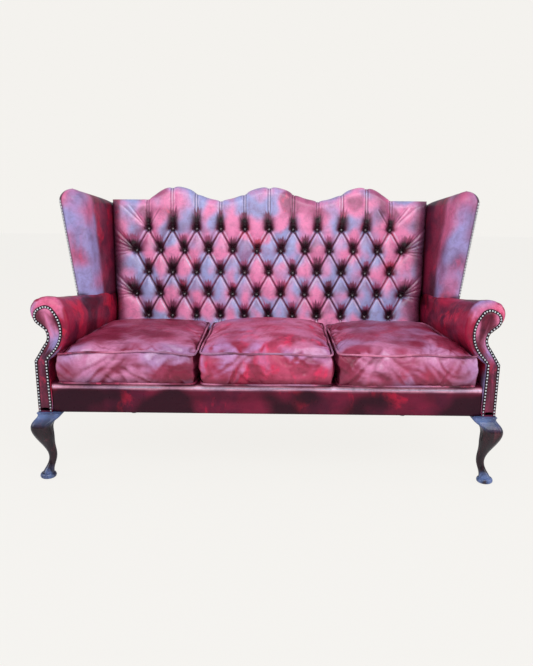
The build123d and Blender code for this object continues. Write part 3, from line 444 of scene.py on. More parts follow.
pale_stage()
lamp("sky_front", (0.3, -3.2, 3.4), (4.5, 2.0), 120, (0.92, 0.95, 1.0))
lamp("side_left", (-3.6, -1.2, 1.8), (2.0, 2.0), 35, (0.95, 0.97, 1.0))
lamp("side_right", (3.6, -1.0, 1.9), (2.0, 2.0), 30)
bpy.context.scene.view_settings.view_transform = "Standard"


# The deep-buttoned back, in the back's own frame: u across, v up its slope, w forward

def back_points(u, v, w):
    c, s = cos(RECLINE), sin(RECLINE)
    return np.stack([u, REAR_Y + v * s - w * c, BACK_Z + v * c + w * s], axis=-1)


def back_v(z, w):
    return (z - BACK_Z - w * sin(RECLINE)) / cos(RECLINE)


RISE = 0.061
KNOTS = [(-0.590, 0), (-0.430, 1), (-0.225, 0), (0.0, 1), (0.225, 0), (0.430, 1), (0.590, 0)]
PAD_W = 0.134
PAD_TOP_HALF = 0.719
PAD_TUCK = 0.006
PITCH = 0.111
ROW_PITCH = 0.100
ROW_TOP = -0.197
BUTTON_SEAT = 0.0285
LONG_ROWS = (1, 3)
FAR = 9.0


def scallop(u):
    """Height v of the back's top edge."""
    v = np.full(u.shape, -RISE)
    for (u0, h0), (u1, h1) in zip(KNOTS[:-1], KNOTS[1:]):
        t = (u - u0) / (u1 - u0)
        inside = (t >= 0) & (t <= 1)
        s = np.where(t < 0.5, 2 * t * t, 1 - 2 * (1 - t) ** 2)
        v = np.where(inside, RISE * (h0 + (h1 - h0) * s) - RISE, v)
    return v


def button_rows():
    rows = []
    for r in range(5):
        shift = 0.5 if r % 2 else 0.0
        rows.append([((i - shift) * PITCH, ROW_TOP - r * ROW_PITCH) for i in range(-5, 6 + (r % 2))])
    return rows


def to_segment(u, v, a, b):
    """Distance of each point from a segment, and how far along it the nearest place is."""
    ab = (b[0] - a[0], b[1] - a[1])
    long = ab[0] ** 2 + ab[1] ** 2
    t = unit(((u - a[0]) * ab[0] + (v - a[1]) * ab[1]) / long)
    return np.hypot(u - a[0] - t * ab[0], v - a[1] - t * ab[1]), t


def half_width(v):
    """Half the pad's width at height v of its face."""
    heights = [back_v(0.60, PAD_W), back_v(0.66, PAD_W), -RISE]
    return np.interp(v, heights, [0.694, 0.703, PAD_TOP_HALF])


def fan_folds(side):
    """Ends of the folds that fan out from one side's outermost buttons to its wing."""
    fans = []
    for r in LONG_ROWS:
        a = (side * 5.5 * PITCH, ROW_TOP - r * ROW_PITCH)
        fans += [(a, (side * 0.76, a[1] + dv)) for dv in (0.160, 0.105, 0.060, 0.022, -0.010, -0.045)]
    a = (side * 5 * PITCH, ROW_TOP)
    return fans + [(a, (side * u, a[1] + dv)) for u, dv in ((0.64, 0.11), (0.70, 0.13), (0.50, 0.09))]


def tufting(u, v):
    """Depth of the pad's face below its plane, its painted shade in pleats, creases and hollows, its painted
    highlights beside the pleats, where the dark patches of dye and painted shade sit above the buttons, and
    how near each place is to a panel's middle."""
    rows = button_rows()
    near = np.full(u.shape, FAR)
    for r, row in enumerate(rows[:-1]):
        for a in row:
            for b in rows[r + 1]:
                if abs(abs(a[0] - b[0]) - PITCH / 2) < 1e-6:
                    near = np.minimum(near, to_segment(u, v, a, b)[0])
    x = unit(near / 0.046)
    swell = 1 - np.sqrt(unit(1 - (1 - x) ** 2))
    depth = 0.014 * swell + 0.0030 * (1 - x) ** 2 + 0.0035 * hump(near, 0.0032)
    # Pleat lines: near-black painted shade, with a painted highlight just beside each
    broken = 0.75 + 0.25 * np.sin(190 * u + 60 * v) * np.sin(70 * u - 130 * v)
    dark = 0.95 * broken * hump(near, 0.0021)
    light = 0.85 * hump(near, 0.0040, 0.0085)
    # Faint level creases across the diamonds, from button to button, with painted shade in them
    for r, row in enumerate(rows):
        for a, b in zip(row[:-1], row[1:]):
            sag = 0.004 * sin(9 * a[0] + r)
            d, t = to_segment(u, v, (a[0], a[1] + sag), (b[0], b[1] - sag))
            faint = hump(d, 0.0026) * (0.5 + 0.5 * np.cos(2 * pi * t))
            depth = depth + 0.0012 * faint
            dark = np.maximum(dark, 0.30 * faint)
    # Upright pleats above the first row and below the last, with painted shade in their tucks and painted
    # highlights along them
    upright = np.full(u.shape, FAR)
    for row, spread, end in ((rows[0], 1.006, 0.3), (rows[-1], 1.0, -0.9)):
        for a in row:
            upright = np.minimum(upright, to_segment(u, v, a, (a[0] * spread, end))[0])
    depth = depth + 0.0060 * unit(1 - upright / 0.030) ** 1.5 * (near > 0.02)
    tucks = hump(upright, 0.0024, 0.0050)
    depth = depth + 0.0035 * tucks * (near > 0.004)
    dark = np.maximum(dark, 0.55 * tucks)
    light = np.maximum(light, 0.9 * hump(upright, 0.0028))
    light = np.maximum(light, 0.5 * hump(upright, 0.0035, 0.0105))
    # Folds fanning out to the wings: painted shade in each, with a painted highlight beside it
    for side in (-1, 1):
        for i, (a, b) in enumerate(fan_folds(side)):
            d, t = to_segment(u, v, a, b)
            fade = unit(1 - 0.75 * t) * (0.65 if i % 2 else 1.0)
            depth = np.maximum(depth, 0.0080 * fade * unit(1 - d / 0.016) ** 1.6)
            dark = np.maximum(dark, 0.65 * fade * hump(d, 0.0026))
            light = np.maximum(light, 0.8 * fade * hump(d, 0.0030, 0.0065))
    bare = np.zeros(u.shape)
    # Hollows round the buttons, with gathers, painted shade in each hollow and a dark patch above each,
    # partly dye and partly painted shade
    k = 0
    for r, row in enumerate(rows):
        for i, (a, b) in enumerate(row):
            k += 1
            last = r in LONG_ROWS and i in (0, len(row) - 1)
            lean = 0.35 * copysign(1, a) if last else 0.10 * sin(7.1 * k)
            tall = (0.078 if r == 0 else 0.058) * (0.88 + 0.24 * sin(3.7 * k) ** 2) * (1.25 if last else 1)
            wide = (0.036 if last else 0.0225) * (0.90 + 0.25 * sin(5.3 * k + 1) ** 2)
            du, dv = u - a, v - b
            over = unit(dv)
            q = np.hypot(du, dv)
            close = q < 0.12
            angle = np.arctan2(du, dv + 0.030)
            spikes = 0.5 + 0.3 * np.cos(31 * angle + 2.3 * k) * np.cos(11 * angle + k)
            spikes = spikes + 0.2 * np.cos(53 * angle - k)
            ribs = 0.5 + 0.5 * np.cos(12 * np.arctan2(dv, du) + 1.7 * k)
            up = unit(dv / np.maximum(q, 1e-6))
            hollow = 0.012 * hump(q, 0.019)
            above = 0.007 * hump(du, 0.013) * ease(dv, -0.002, 0.014) * hump(over, 0.036)
            ripple = 0.0016 * ribs * hump(q, 0.014, 0.024) * (0.35 + 0.65 * up)
            ripple = ripple + 0.0012 * spikes * hump(q, 0.020, 0.040) * up
            depth = depth + close * (hollow + above + ripple)
            reach = 1 - over / (tall * (0.74 + 0.30 * spikes))
            body = np.exp(-(np.abs((du - lean * over) / wide) ** 2.6)) * ease(dv, -0.016, 0.002)
            dark = np.maximum(dark, close * 0.97 * body * ease(reach, 0.0, 0.38))
            bare = np.maximum(bare, close * body * ease(reach + 0.35, 0.0, 0.30))
            dark = np.maximum(dark, close * 0.8 * np.exp(-((q / 0.0165) ** 4)))
    # The seat for each button is a small flat
    for a, b in sum(rows, []):
        q = np.hypot(u - a, v - b)
        eased = BUTTON_SEAT + (depth - BUTTON_SEAT) * ease(q, 0.012, 0.020)
        depth = np.where(q < 0.020, eased, depth)
    middle = unit(np.minimum(near / 0.040, upright / 0.050))
    return depth, unit(dark), unit(light), bare, middle


def back_surface(share, low, roll, rear_w):
    """Rows of the pad's plain surface, as u, v, w and how far the leather has turned over the top roll."""
    face_rows, arc_rows, cap_rows = 230, 14, 6
    top = scallop(share * PAD_TOP_HALF)
    edge = share * (PAD_TOP_HALF + PAD_TUCK)
    rows = []
    for i in range(face_rows):
        v = low + (top - roll - low) * i / (face_rows - 1)
        rows.append((share * (half_width(v) + PAD_TUCK), v, PAD_W, 0.0))
    for i in range(1, arc_rows + 1):
        a = pi / 2 * i / arc_rows
        rows.append((edge, top - roll + roll * sin(a), PAD_W - roll + roll * cos(a), a))
    for i in range(1, cap_rows + 1):
        rows.append((edge, top, PAD_W - roll + (rear_w - PAD_W + roll) * i / cap_rows, pi / 2))
    return np.array([[np.broadcast_to(x, share.shape) for x in row] for row in rows]).transpose(1, 0, 2)


def make_back():
    columns, roll, rear_w = 461, 0.038, 0.0065
    share = np.linspace(-1, 1, columns)
    low = back_v(0.392, PAD_W)
    u, v, w, n = back_surface(share, low, roll, rear_w)
    # Along the roll the pleats go on, measured along the leather
    along = np.where(n > 0, v + (PAD_W - w), v)
    depth, dark, light, bare, middle = tufting(u, along)
    depth = depth * np.where(n > 0, unit(1 - (PAD_W - roll - w) / 0.05), 1)
    beside = half_width(v) + PAD_TUCK - np.abs(u)
    side = beside / 0.040
    tuck = 0.040 * (1 - np.sqrt(unit(1 - unit(1 - side) ** 2))) * np.where(n > 0, np.cos(n), 1)
    v = v - depth * np.sin(n)
    w = w - depth * np.cos(n) - tuck
    shade = 0.85 * unit(1 - side * 0.62) ** 1.5 * unit(np.cos(n)) ** 0.5
    dark = np.maximum(dark, np.nan_to_num(shade))
    pts = back_points(u, v, w)
    # Painted sheen on the high parts of the diamonds, less by the wings and over the dark patches above the
    # buttons, painted highlights beside the pleats, and the sheen's pink or lilac tint
    patches, small, tone = cloud(pts, 7.0, 3.1), cloud(pts, 16.0, 8.2), cloud(pts, 8.0, 70.0)
    high = unit(1 - depth / 0.020)
    beside_wing = 0.25 + 0.75 * ease(beside + 0.02 * patches, 0.025, 0.085)
    gleam = light * (1 - bare) * beside_wing
    light = np.maximum(light, high * (1.04 + 0.75 * patches + 0.45 * small)) * (1 - 0.85 * bare)
    light = unit(light * beside_wing) + 0.90 * gleam
    above_rows = ease(along, ROW_TOP + 0.02, ROW_TOP + 0.09)
    light = light * (1 - 0.55 * above_rows * ease(tone, 0.02, 0.24))
    warm = unit(0.34 + 1.25 * tone + 0.8 * small + 0.30 * middle + 0.15 * above_rows)
    rear = back_points(share * 0.694, np.full(columns, low), np.full(columns, rear_w))
    grid = np.concatenate([pts, rear[None]]).transpose(1, 0, 2)
    wear_and_painted_light = {}
    for key, values, at_rear in (("dark", dark, 1.0), ("light", light, 0.0), ("warm", warm, 0.0)):
        wear_and_painted_light[key] = np.concatenate([values, np.full((1, columns), at_rear)]).T
    piece = make_loop(
        "back_buttoned_skin", grid, "back_leather", wear_and_painted_light,
        replaces=["back_tufted_cover", "back_stuffing"],
    )


make_back()


# Arms: matched outlines at the front and the back, as shares of their width and height

# Two numbers are the end of a straight step, four are an arc's middle and its end

ARM_FRONT = [
    (0.097, 0.0), (0.076, 0.46), (0.354, 0.601), (0.451, 0.679, 0.368, 0.747), (0.188, 0.795),
    (0.0, 0.882, 0.257, 0.989), (0.493, 1.0, 0.743, 0.97), (0.931, 0.866, 1.0, 0.733),
    (0.868, 0.595, 0.59, 0.492), (0.41, 0.46), (0.465, 0.0),
]
ARM_BACK = [
    (0.2, 0.0), (0.176, 0.513), (0.353, 0.633), (0.424, 0.707, 0.353, 0.776), (0.188, 0.818),
    (0.0, 0.896, 0.212, 0.982), (0.435, 1.0, 0.706, 0.979), (0.918, 0.907, 1.0, 0.797),
    (1.018, 0.701, 0.988, 0.603), (0.976, 0.558), (0.965, 0.0),
]
FACING = [
    (0.09, 0.0), (0.076, 0.458), (0.347, 0.599), (0.4375, 0.665, 0.382, 0.729), (0.215, 0.774),
    (0.111, 0.847, 0.292, 0.923), (0.493, 0.934, 0.653, 0.893), (0.799, 0.806, 0.84, 0.729),
    (0.785, 0.622, 0.604, 0.528), (0.417, 0.46), (0.458, 0.0),
]
STEP_COUNTS = [8, 22, 10, 12, 6, 16, 14, 14, 16, 8, 22]
ARM_Y = (-0.378, 0.392)
ARM_SIZES = ((0.877, 0.144, 0.707), (0.782, 0.085, 0.603))
LIP_Y, LIP_SWELL = -0.361, 0.0035


def arc_points(a, via, b, count):
    """Points after a on the arc through via to b."""
    (ax, ay), (bx, by), (cx, cy) = a, via, b
    aa, bb, cc = ax * ax + ay * ay, bx * bx + by * by, cx * cx + cy * cy
    d = 2 * (ax * (by - cy) + bx * (cy - ay) + cx * (ay - by))
    ox = (aa * (by - cy) + bb * (cy - ay) + cc * (ay - by)) / d
    oy = (aa * (cx - bx) + bb * (ax - cx) + cc * (bx - ax)) / d
    r = hypot(ax - ox, ay - oy)
    start, mid, end = (atan2(p[1] - oy, p[0] - ox) for p in (a, via, b))
    turn = (end - start) % (2 * pi)
    if (mid - start) % (2 * pi) > turn:
        turn -= 2 * pi
    angles = [start + turn * i / count for i in range(1, count + 1)]
    return [(ox + r * cos(t), oy + r * sin(t)) for t in angles]


def section(steps, sizes):
    """Points (x, z) round an arm section, starting after the inner foot."""
    outer, width, height = sizes

    def real(across, up):
        return (outer - across * width, LEG_Z + up * (height - LEG_Z))

    last = real(*steps[-1])
    points = []
    for step, count in zip(steps, STEP_COUNTS):
        end = real(*step[-2:])
        if len(step) == 2:
            shares = [i / count for i in range(1, count + 1)]
            points += [(last[0] + (end[0] - last[0]) * t, last[1] + (end[1] - last[1]) * t) for t in shares]
        else:
            points += arc_points(last, real(*step[:2]), end, count)
        last = end
    return np.array(points)


def outward_of(ring):
    """Unit directions out of a closed outline."""
    along = np.roll(ring, -1, 0) - np.roll(ring, 1, 0)
    along /= np.maximum(np.hypot(along[:, 0], along[:, 1]), 1e-9)[:, None]
    area = np.sum(ring[:, 0] * np.roll(ring[:, 1], -1) - ring[:, 1] * np.roll(ring[:, 0], -1))
    return np.stack([along[:, 1], -along[:, 0]], axis=-1) * (1 if area > 0 else -1)


def smooth_ring(ring, passes, share=0.25):
    """A closed outline, each pass moving its points towards their neighbours by a share."""
    for _ in range(passes):
        ring = (1 - 2 * share) * ring + share * (np.roll(ring, 1, 0) + np.roll(ring, -1, 0))
    return ring


def inward(ring, amount):
    """A closed outline moved in by an amount, in small eased steps."""
    moves = max(1, round(amount / 0.0012))
    for _ in range(moves):
        ring = smooth_ring(ring - amount / moves * outward_of(ring), 1, 0.1)
    return ring


ARM_RINGS = (section(ARM_FRONT, ARM_SIZES[0]), section(ARM_BACK, ARM_SIZES[1]))
FACING_RING = section(FACING, ARM_SIZES[0])
OUTWARD = outward_of(ARM_RINGS[0])


def arm_ring(y):
    """The arm's outline at y, or each outline point at a y of its own."""
    t = np.reshape((y - ARM_Y[0]) / (ARM_Y[1] - ARM_Y[0]), (-1, 1))
    return ARM_RINGS[0] * (1 - t) + ARM_RINGS[1] * t


def ring_share():
    """Each outline point's share of the way round."""
    ring = ARM_RINGS[0]
    steps = np.hypot(*(np.roll(ring, -1, 0) - ring).T)
    return np.concatenate([[0], np.cumsum(steps)[:-1]]) / steps.sum()


def arm_rows(gather, top):
    """Rows of the arm's skin: a rolled lip round the facing, then the body to the back's slope."""
    lip_rows, body_rows = 12, 64
    face_y = FRONT_Y + 0.003
    rows = []
    for i in range(lip_rows):
        a = pi / 2 * i / (lip_rows - 1)
        full = arm_ring(LIP_Y) + LIP_SWELL * OUTWARD * top[:, None]
        ring = FACING_RING * (1 - sin(a)) + full * sin(a)
        y = LIP_Y + (face_y - LIP_Y) * cos(a) ** 0.9 + 0.0016 * gather * top * sin(pi * min(1, i / 9))
        rows.append(np.stack([ring[:, 0], y, ring[:, 1]], axis=-1))
    end_y = np.minimum(REAR_Y + back_v(arm_ring(0.35)[:, 1], 0.0) * sin(RECLINE) - 0.001, 0.425)
    for i in range(1, body_rows):
        y = LIP_Y + (end_y - LIP_Y) * i / (body_rows - 1)
        ring = arm_ring(y) + LIP_SWELL * OUTWARD * (top * hump(y, 0.05, LIP_Y))[:, None]
        rows.append(np.stack([ring[:, 0], y, ring[:, 1]], axis=-1))
    points = np.array(rows)
    for row in points:
        row[:, [0, 2]] = smooth_ring(row[:, [0, 2]], 3)
    return points


def make_arm(side, sign):
    share = ring_share()
    gather = 0.5 * np.cos(2 * pi * 46 * share) + 0.5 * np.cos(2 * pi * 29 * share + 1.0)
    top = ease(FACING_RING[:, 1], 0.60, 0.68)
    points = arm_rows(gather, top)
    lumps = cloud(points, 6.0, 4.0 + sign) * 0.0030 + cloud(points, 15.0, 9.0 + sign) * 0.0016
    # Below the wing the roll is fuller on its inner shoulder
    ys = points[:, :, 1]
    from_middle = points[:, :, [0, 2]] - np.array([0.790, 0.580])
    turn = np.degrees(np.arctan2(from_middle[:, :, 1], from_middle[:, :, 0]))
    full = 0.030 * hump(turn, 26, 138) * ease(ys, -0.12, 0.0)
    points[:, :, 0] -= 0.707 * full
    points[:, :, 2] += 0.707 * full
    patches, wide = cloud(points, 9.0, 2.0 + sign), cloud(points, 4.5, 12.0 + sign)
    mottled = patches + 0.6 * cloud(points, 22.0, 17.0 + sign)
    x, ys, z = points[:, :, 0], points[:, :, 1], points[:, :, 2]
    out = points - np.array([0.80, 0, 0.56])
    out[:, :, 1] = 0
    out /= np.maximum(np.linalg.norm(out, axis=2, keepdims=True), 1e-6)
    gathers = 0.0012 * gather * top * hump(ys, 0.030, LIP_Y) * (ys > LIP_Y - 0.02)
    swell = lumps * ease(ys, -0.37, -0.30) * ease(z, 0.30, 0.40) + gathers
    points = points + out * swell[:, :, None]
    # Painted sheen along the front edge and the roll's top; painted shade by the back and low on the inner
    # side, and dark patches in the dye
    inner = ease(0.86 - x, 0.06, 0.12)
    near_front = 1 - ease(ys, -0.376, -0.340)
    light = near_front * ((-0.10 if sign < 0 else 0.20) + 1.8 * patches + 0.30 * gather * top)
    light += 0.75 * hump(ys, 0.004, FRONT_Y + 0.006) + 0.20 * ease(z, 0.64, 0.69) * (0.4 + patches)
    dark = 0.9 * ease(ys, 0.20, 0.34) * inner
    dark += 0.70 * ease(-wide - 0.5 * mottled, 0.06, 0.28) * (1 - near_front)
    dark = dark * (1 - (0.35 if sign < 0 else 0.75) * (1 - ease(ys, -0.26, -0.08)))
    dark = np.maximum(dark, 0.5 * (1 - ease(z, 0.40, 0.47)) * inner)
    piece = make_loop(
        "arm_skin_" + side, points * np.array([sign, 1, 1]), "arm_leather",
        {"dark": unit(dark), "light": unit(light)},
        replaces=["arm_cover_" + side, "outside_arm_panel_" + side, "arm_stuffing_" + side],
    )


# How far in from the outline each ring of a facing lies, and how far it stands behind the facing's plane
FACING_STEPS = (
    (0.0, 0.0085), (0.0, 0.0006), (0.0012, 0.0), (0.0100, 0.0002), (0.0120, 0.0), (0.0150, -0.0022),
    (0.0190, -0.0034),
)


def make_facing(side, sign):
    """A padded panel with its raised middle between the nails."""
    rings = [(inward(FACING_RING, amount) if amount else FACING_RING, rise) for amount, rise in FACING_STEPS]
    grid = np.array([[(x * sign, FRONT_Y + rise, z) for x, z in ring] for ring, rise in rings])
    z = grid[:, :, 2]
    patches = cloud(grid * np.array([2.2, 1.0, 1.0]), 11.0, 6.0 + sign)
    # Painted sheen on the scroll, darker towards the bottom
    light = unit(0.10 + 1.0 * ease(z, 0.45, 0.56) * (0.58 + 1.6 * patches))
    dark = np.clip(0.40 * (1 - ease(z, 0.44, 0.52)) - 1.2 * patches, 0, 0.55)
    # Painted shade along the nail line, between the heads
    dark[:4] = 0.95 * ease(z[:4], LEG_Z + 0.014, LEG_Z + 0.030)
    make_loop(
        "arm_facing_pad_" + side, grid, "facing_leather", {"light": light, "dark": dark},
        replaces=["arm_facing_" + side],
    )


for side, sign in SIDES.items():
    make_arm(side, sign)
    make_facing(side, sign)


# Wings: an upright padded roll swept back along each side

WING_LOW_Z, WING_TOP_Z, WING_FOOT_Z = 0.600, 1.101, 0.566
WING_FRONT_Y = -0.035
WING_SPLAY = radians(7.0)
WING_INNER_Y = 0.310
# Shares of the way round the wing's plan where its front roll starts and ends
ROLL_START, ROLL_END = 0.42, 0.58
PANEL_THICK = 0.0045


def wing_lines(z):
    """Centre (x, y) and radius of the front roll at height z."""
    radius = 0.045 + 0.012 * (z - WING_LOW_Z) / (WING_TOP_Z - WING_LOW_Z)
    outer = 0.806 + 0.14 * (z - WING_LOW_Z)
    return outer - radius, WING_FRONT_Y + radius, radius


def arm_top(x, y):
    """Height of the arm's upper surface at x and y."""
    ring = arm_ring(y)
    peak = ring[:, 1].max()
    upper = ring[ring[:, 1] > LEG_Z + 0.80 * (peak - LEG_Z)]
    order = np.argsort(upper[:, 0])
    return float(np.interp(x, upper[order, 0], upper[order, 1]))


def wing_ends(y, z):
    """Inner and outer X of the wing at y and z."""
    cx, cy, r = wing_lines(z)
    outer = cx + r / cos(WING_SPLAY) - (y - cy) * tan(WING_SPLAY)
    t = min(max((y - cy) / (WING_INNER_Y - cy), 0), 1)
    inner = (cx - r) + (0.705 + 0.042 * (z - WING_LOW_Z) - (cx - r)) * t
    return inner, outer


def wing_place(z, p, rounding):
    """Point p (0 to 1) round the wing's plan at height z, drawn in by a distance. The inner side comes first,
    then the front roll and the outer side."""
    _, cy, r = wing_lines(z)
    on_roll = ROLL_START <= p <= ROLL_END
    y = cy
    if not on_roll:
        rear = REAR_Y + back_v(z, 0.0) * sin(RECLINE) - 0.004
        y += (rear - cy) * (max(ROLL_START - p, p - ROLL_END) / ROLL_START)
    inner, outer = wing_ends(y, z)
    middle, half = (inner + outer) / 2, (outer - inner) / 2
    keep = max(1 - rounding / half, 0.04)
    if on_roll:
        a = pi + pi * (p - ROLL_START) / (ROLL_END - ROLL_START)
        return middle + cos(a) * half * keep, y + sin(a) * r * keep
    return middle + copysign(half * keep, p - 0.5), y


def wing_grid(ps, wall_rows):
    """Rows of the wing's skin in its wall, rolled top and crown, and where each column meets the arm."""
    roll_rows, crown_rows = 14, 4
    grid = np.zeros((wall_rows + roll_rows + crown_rows, len(ps), 3))
    tops = np.zeros(len(ps))
    for j, p in enumerate(ps):
        x0, y0 = wing_place(0.65, p, 0)
        tops[j] = max(arm_top(x0, y0), 0.640 if y0 > 0 else 0)
        roll = float(np.interp(y0, [WING_FRONT_Y, WING_INNER_Y], [0.048, 0.038]))
        behind = y0 - WING_FRONT_Y
        crest = WING_TOP_Z - 0.085 * (behind + hypot(behind, 0.050)) + 0.0010
        level = crest - roll
        for i in range(wall_rows):
            z = WING_FOOT_Z + (level - WING_FOOT_Z) * i / (wall_rows - 1)
            x, y = wing_place(z, p, 0)
            if z < 0.70 and y < 0.39:
                x = max(x, arm_ring(y)[:, 0].min() + (0.003 if z > 0.63 else 0.016))
            grid[i, j] = (x, y, z)
        for i in range(1, roll_rows + 1):
            a = pi / 2 * i / roll_rows
            in_plan = wing_place(level, p, roll * (1 - cos(a)))
            grid[wall_rows + i - 1, j] = (*in_plan, level + roll * sin(a))
        for i in range(1, crown_rows + 1):
            in_plan = wing_place(level, p, roll + 0.060 * i / crown_rows)
            grid[wall_rows + roll_rows + i - 1, j] = (*in_plan, crest + 0.0004 * i)
    return grid, tops


def make_wing(side, sign):
    runs = ((0.0, ROLL_START, 36), (ROLL_START, ROLL_END, 27), (ROLL_END, 1.0, 36))
    ps = np.unique(np.concatenate([np.linspace(*run) for run in runs]))
    wall_rows = 56
    grid, tops = wing_grid(ps, wall_rows)
    lumps = cloud(grid, 5.0, 12.0 + sign) * 0.0040 + cloud(grid, 13.0, 5.0 + sign) * 0.0014
    inner_side = 1 - ease(ps, 0.40, 0.48)
    grid[:, :, 0] -= lumps * inner_side
    grid[:, :, 1] += lumps * (1 - inner_side) * (1 - ease(ps, 0.50, 0.54))
    noises = ((7.0, 20.0), (4.0, 27.0), (9.0, 44.0), (15.0, 48.0))
    patches, wide, tone, fine_tone = (cloud(grid, scale, seed + sign) for scale, seed in noises)
    z = grid[:, :, 2]
    # The front roll has a painted pale sheen, the inner face dark patches, partly dye and partly painted
    # shade, and near-black painted shade runs where the wing meets the arm and the back and along the nail
    # line
    roll_band = ease(ps, 0.31, 0.40) * (1 - ease(ps, 0.545, 0.575))
    sheen_level = 1.0 if sign < 0 else 0.66
    light = roll_band * (sheen_level + 0.40 * patches + 0.40 * fine_tone)
    light = unit(light + 0.25 * ease(z, 1.06, 1.09) * (0.3 + patches))
    warm = unit(0.16 + 1.2 * tone + 0.60 * ease(z, 0.93, 1.06))
    dark = np.maximum(0.9 * hump(z, 0.010, tops), 0.9 * (1 - ease(ps, 0.08, 0.20)))
    dark = np.maximum(dark, 0.65 * ease(-wide - 0.3 * tone, 0.06, 0.30) * inner_side)
    dark = unit(np.maximum(dark, 0.95 * ease(ps, 0.530, 0.541)))
    side_from = int(np.argmin(abs(ps - 0.585)))
    pts = grid * np.array([sign, 1, 1])
    skin = pts.copy()
    skin[:, side_from + 1:, 0] -= 0.0048 * sign
    piece = make_loop(
        "wing_skin_" + side, skin, "wing_leather", {"dark": dark, "light": light, "warm": warm},
        replaces=["wing_cover_" + side, "wing_stuffing_" + side], caps=("fan", "strip"),
    )
    outer = pts[:wall_rows, side_from:]
    under = outer - np.array([PANEL_THICK * sign, 0, 0])
    slab = np.concatenate([outer, under[:, ::-1]], axis=1)
    shade = dark[:wall_rows, side_from:]
    shade = np.concatenate([shade, shade[:, ::-1]], axis=1)
    make_loop(
        "wing_outside_" + side, slab, "panel_leather", {"dark": shade * 0.3, "light": shade * 0},
        replaces=["outside_wing_panel_" + side],
    )


for side, sign in SIDES.items():
    make_wing(side, sign)


# The front rail and its padded lip

def make_rail():
    half, columns = 0.8085, 240
    front, top, radius = -0.3873, 0.3850, 0.018
    low = LEG_Z + 0.0005
    profile = [(front, low + (top - radius - low) * i / 12) for i in range(12)]
    for i in range(13):
        a = pi / 2 * i / 12
        profile.append((front + radius - radius * cos(a), top - radius + radius * sin(a)))
    profile += [(front + radius + 0.044 * i / 6, top) for i in range(1, 7)]
    profile += [(front + 0.062, top - 0.03), (front + 0.062, low)]
    profile = np.array(profile)
    xs = np.linspace(-half, half, columns)
    grid = np.zeros((columns, len(profile), 3))
    grid[:, :, 0] = xs[:, None]
    grid[:, :, 1:] = profile
    wave = (0.0012 * np.sin(xs * 9.0) + 0.0009 * np.sin(xs * 23 + 1))[:, None]
    lift = ease(profile[:, 1], 0.33, 0.38) * (profile[:, 0] < front + 0.03)
    grid[:, :, 1] += (wave + 0.0012) * lift
    grid[:, :, 2] -= np.abs(wave) * lift * 0.5
    z = grid[:, :, 2]
    patches, small = cloud(grid, 5.0, 31.0), cloud(grid, 13.0, 35.0)
    # Painted highlight along the lip; darker dye in patches, less just under the lip
    lip = hump(z, 0.0070, 0.3680) * (grid[:, :, 1] < -0.36)
    light = np.clip(lip * (1.50 + 0.9 * patches + 0.5 * small), 0, 1.6)
    under_lip = ease(z, 0.325, 0.366)
    dark = np.clip(1.10 - 1.7 * patches - 1.0 * small - 0.75 * under_lip, 0, 0.94) * (1 - lip)
    # Painted shadow along the top edge, in the gap under the cushions
    dark = np.maximum(dark, 0.7 * ease(z, 0.3765, 0.3835))
    warm = unit(0.75 + 1.2 * small)
    piece = make_loop(
        "front_rail_skin", grid, "rail_leather", {"dark": dark, "light": light, "warm": warm},
        replaces=["front_rail_cover", "front_edge_roll"],
    )


make_rail()


# Outside back: leather stretched over the frame's rear, eased in at its edges

def make_outside_back():
    columns, rows, reach = 181, 90, 0.80
    heights = [LEG_Z, 0.446, 0.510, 0.603, 1.034]
    widths = [0.765, 0.765, 0.745, 0.763, 0.801]
    share = np.linspace(-1, 1, columns)
    low = back_v(LEG_Z, 0.0)
    layers = np.zeros((2, rows, columns, 3))
    for i in range(rows):
        t = i / (rows - 1)
        v = low + (scallop(share * reach) - low) * t
        half = np.interp(BACK_Z + v * cos(RECLINE), heights, widths)
        edge = np.minimum((1 - abs(share)) * reach, min(t, 1 - t) * 0.83)
        layers[0, i] = back_points(share * half, v, 0.0045 - 0.0042 * ease(edge, 0.0, 0.10))
        layers[1, i] = back_points(share * half, v, 0.0060)
    grid = np.concatenate([layers[0], layers[1, ::-1]]).transpose(1, 0, 2)
    # Painted sheen in broad faint patches
    sheen_level = unit(cloud(grid, 3.0, 50.0)) * 0.3
    make_loop(
        "outside_back_skin", grid, "panel_leather", {"dark": np.zeros(sheen_level.shape), "light": sheen_level},
        replaces=["outside_back_panel"],
    )


make_outside_back()


# Loose seat cushions

SEAT_LOW, SEAT_HIGH = DECK_Z + 0.001, DECK_Z + 0.1215
CUSHION_FRONT, CUSHION_REAR = -0.4105, 0.1655
PIPE_RADIUS = 0.0038
CLOTH_FRAMES = 20
LONGEST_MOVE = 0.012
CLOTH_SETTINGS = {
    "quality": 5, "mass": 0.5, "tension_stiffness": 25, "compression_stiffness": 8, "shear_stiffness": 8,
    "bending_stiffness": 0.35, "use_pressure": True, "uniform_pressure_force": 2.2, "shrink_min": -0.045,
    "vertex_group_mass": "held", "pin_stiffness": 1.0,
}
# Folds of the top: depth, angle, length, width, seed, and the share that is left away from the edge
TOP_FOLDS = (
    (0.0034, 76, 0.15, 0.042, 0, 0.35), (0.0030, 32, 0.13, 0.038, 3, 0.25),
    (0.0030, -38, 0.13, 0.040, 6, 0.25),
)
# Folds of the band: depth, angle, length, width, seed and sharpness
BAND_FOLDS = (
    (0.0050, 48, 0.120, 0.042, 11, 0.24), (0.0044, -44, 0.110, 0.040, 14, 0.24),
    (0.0020, 6, 0.120, 0.022, 17, 0.20),
)


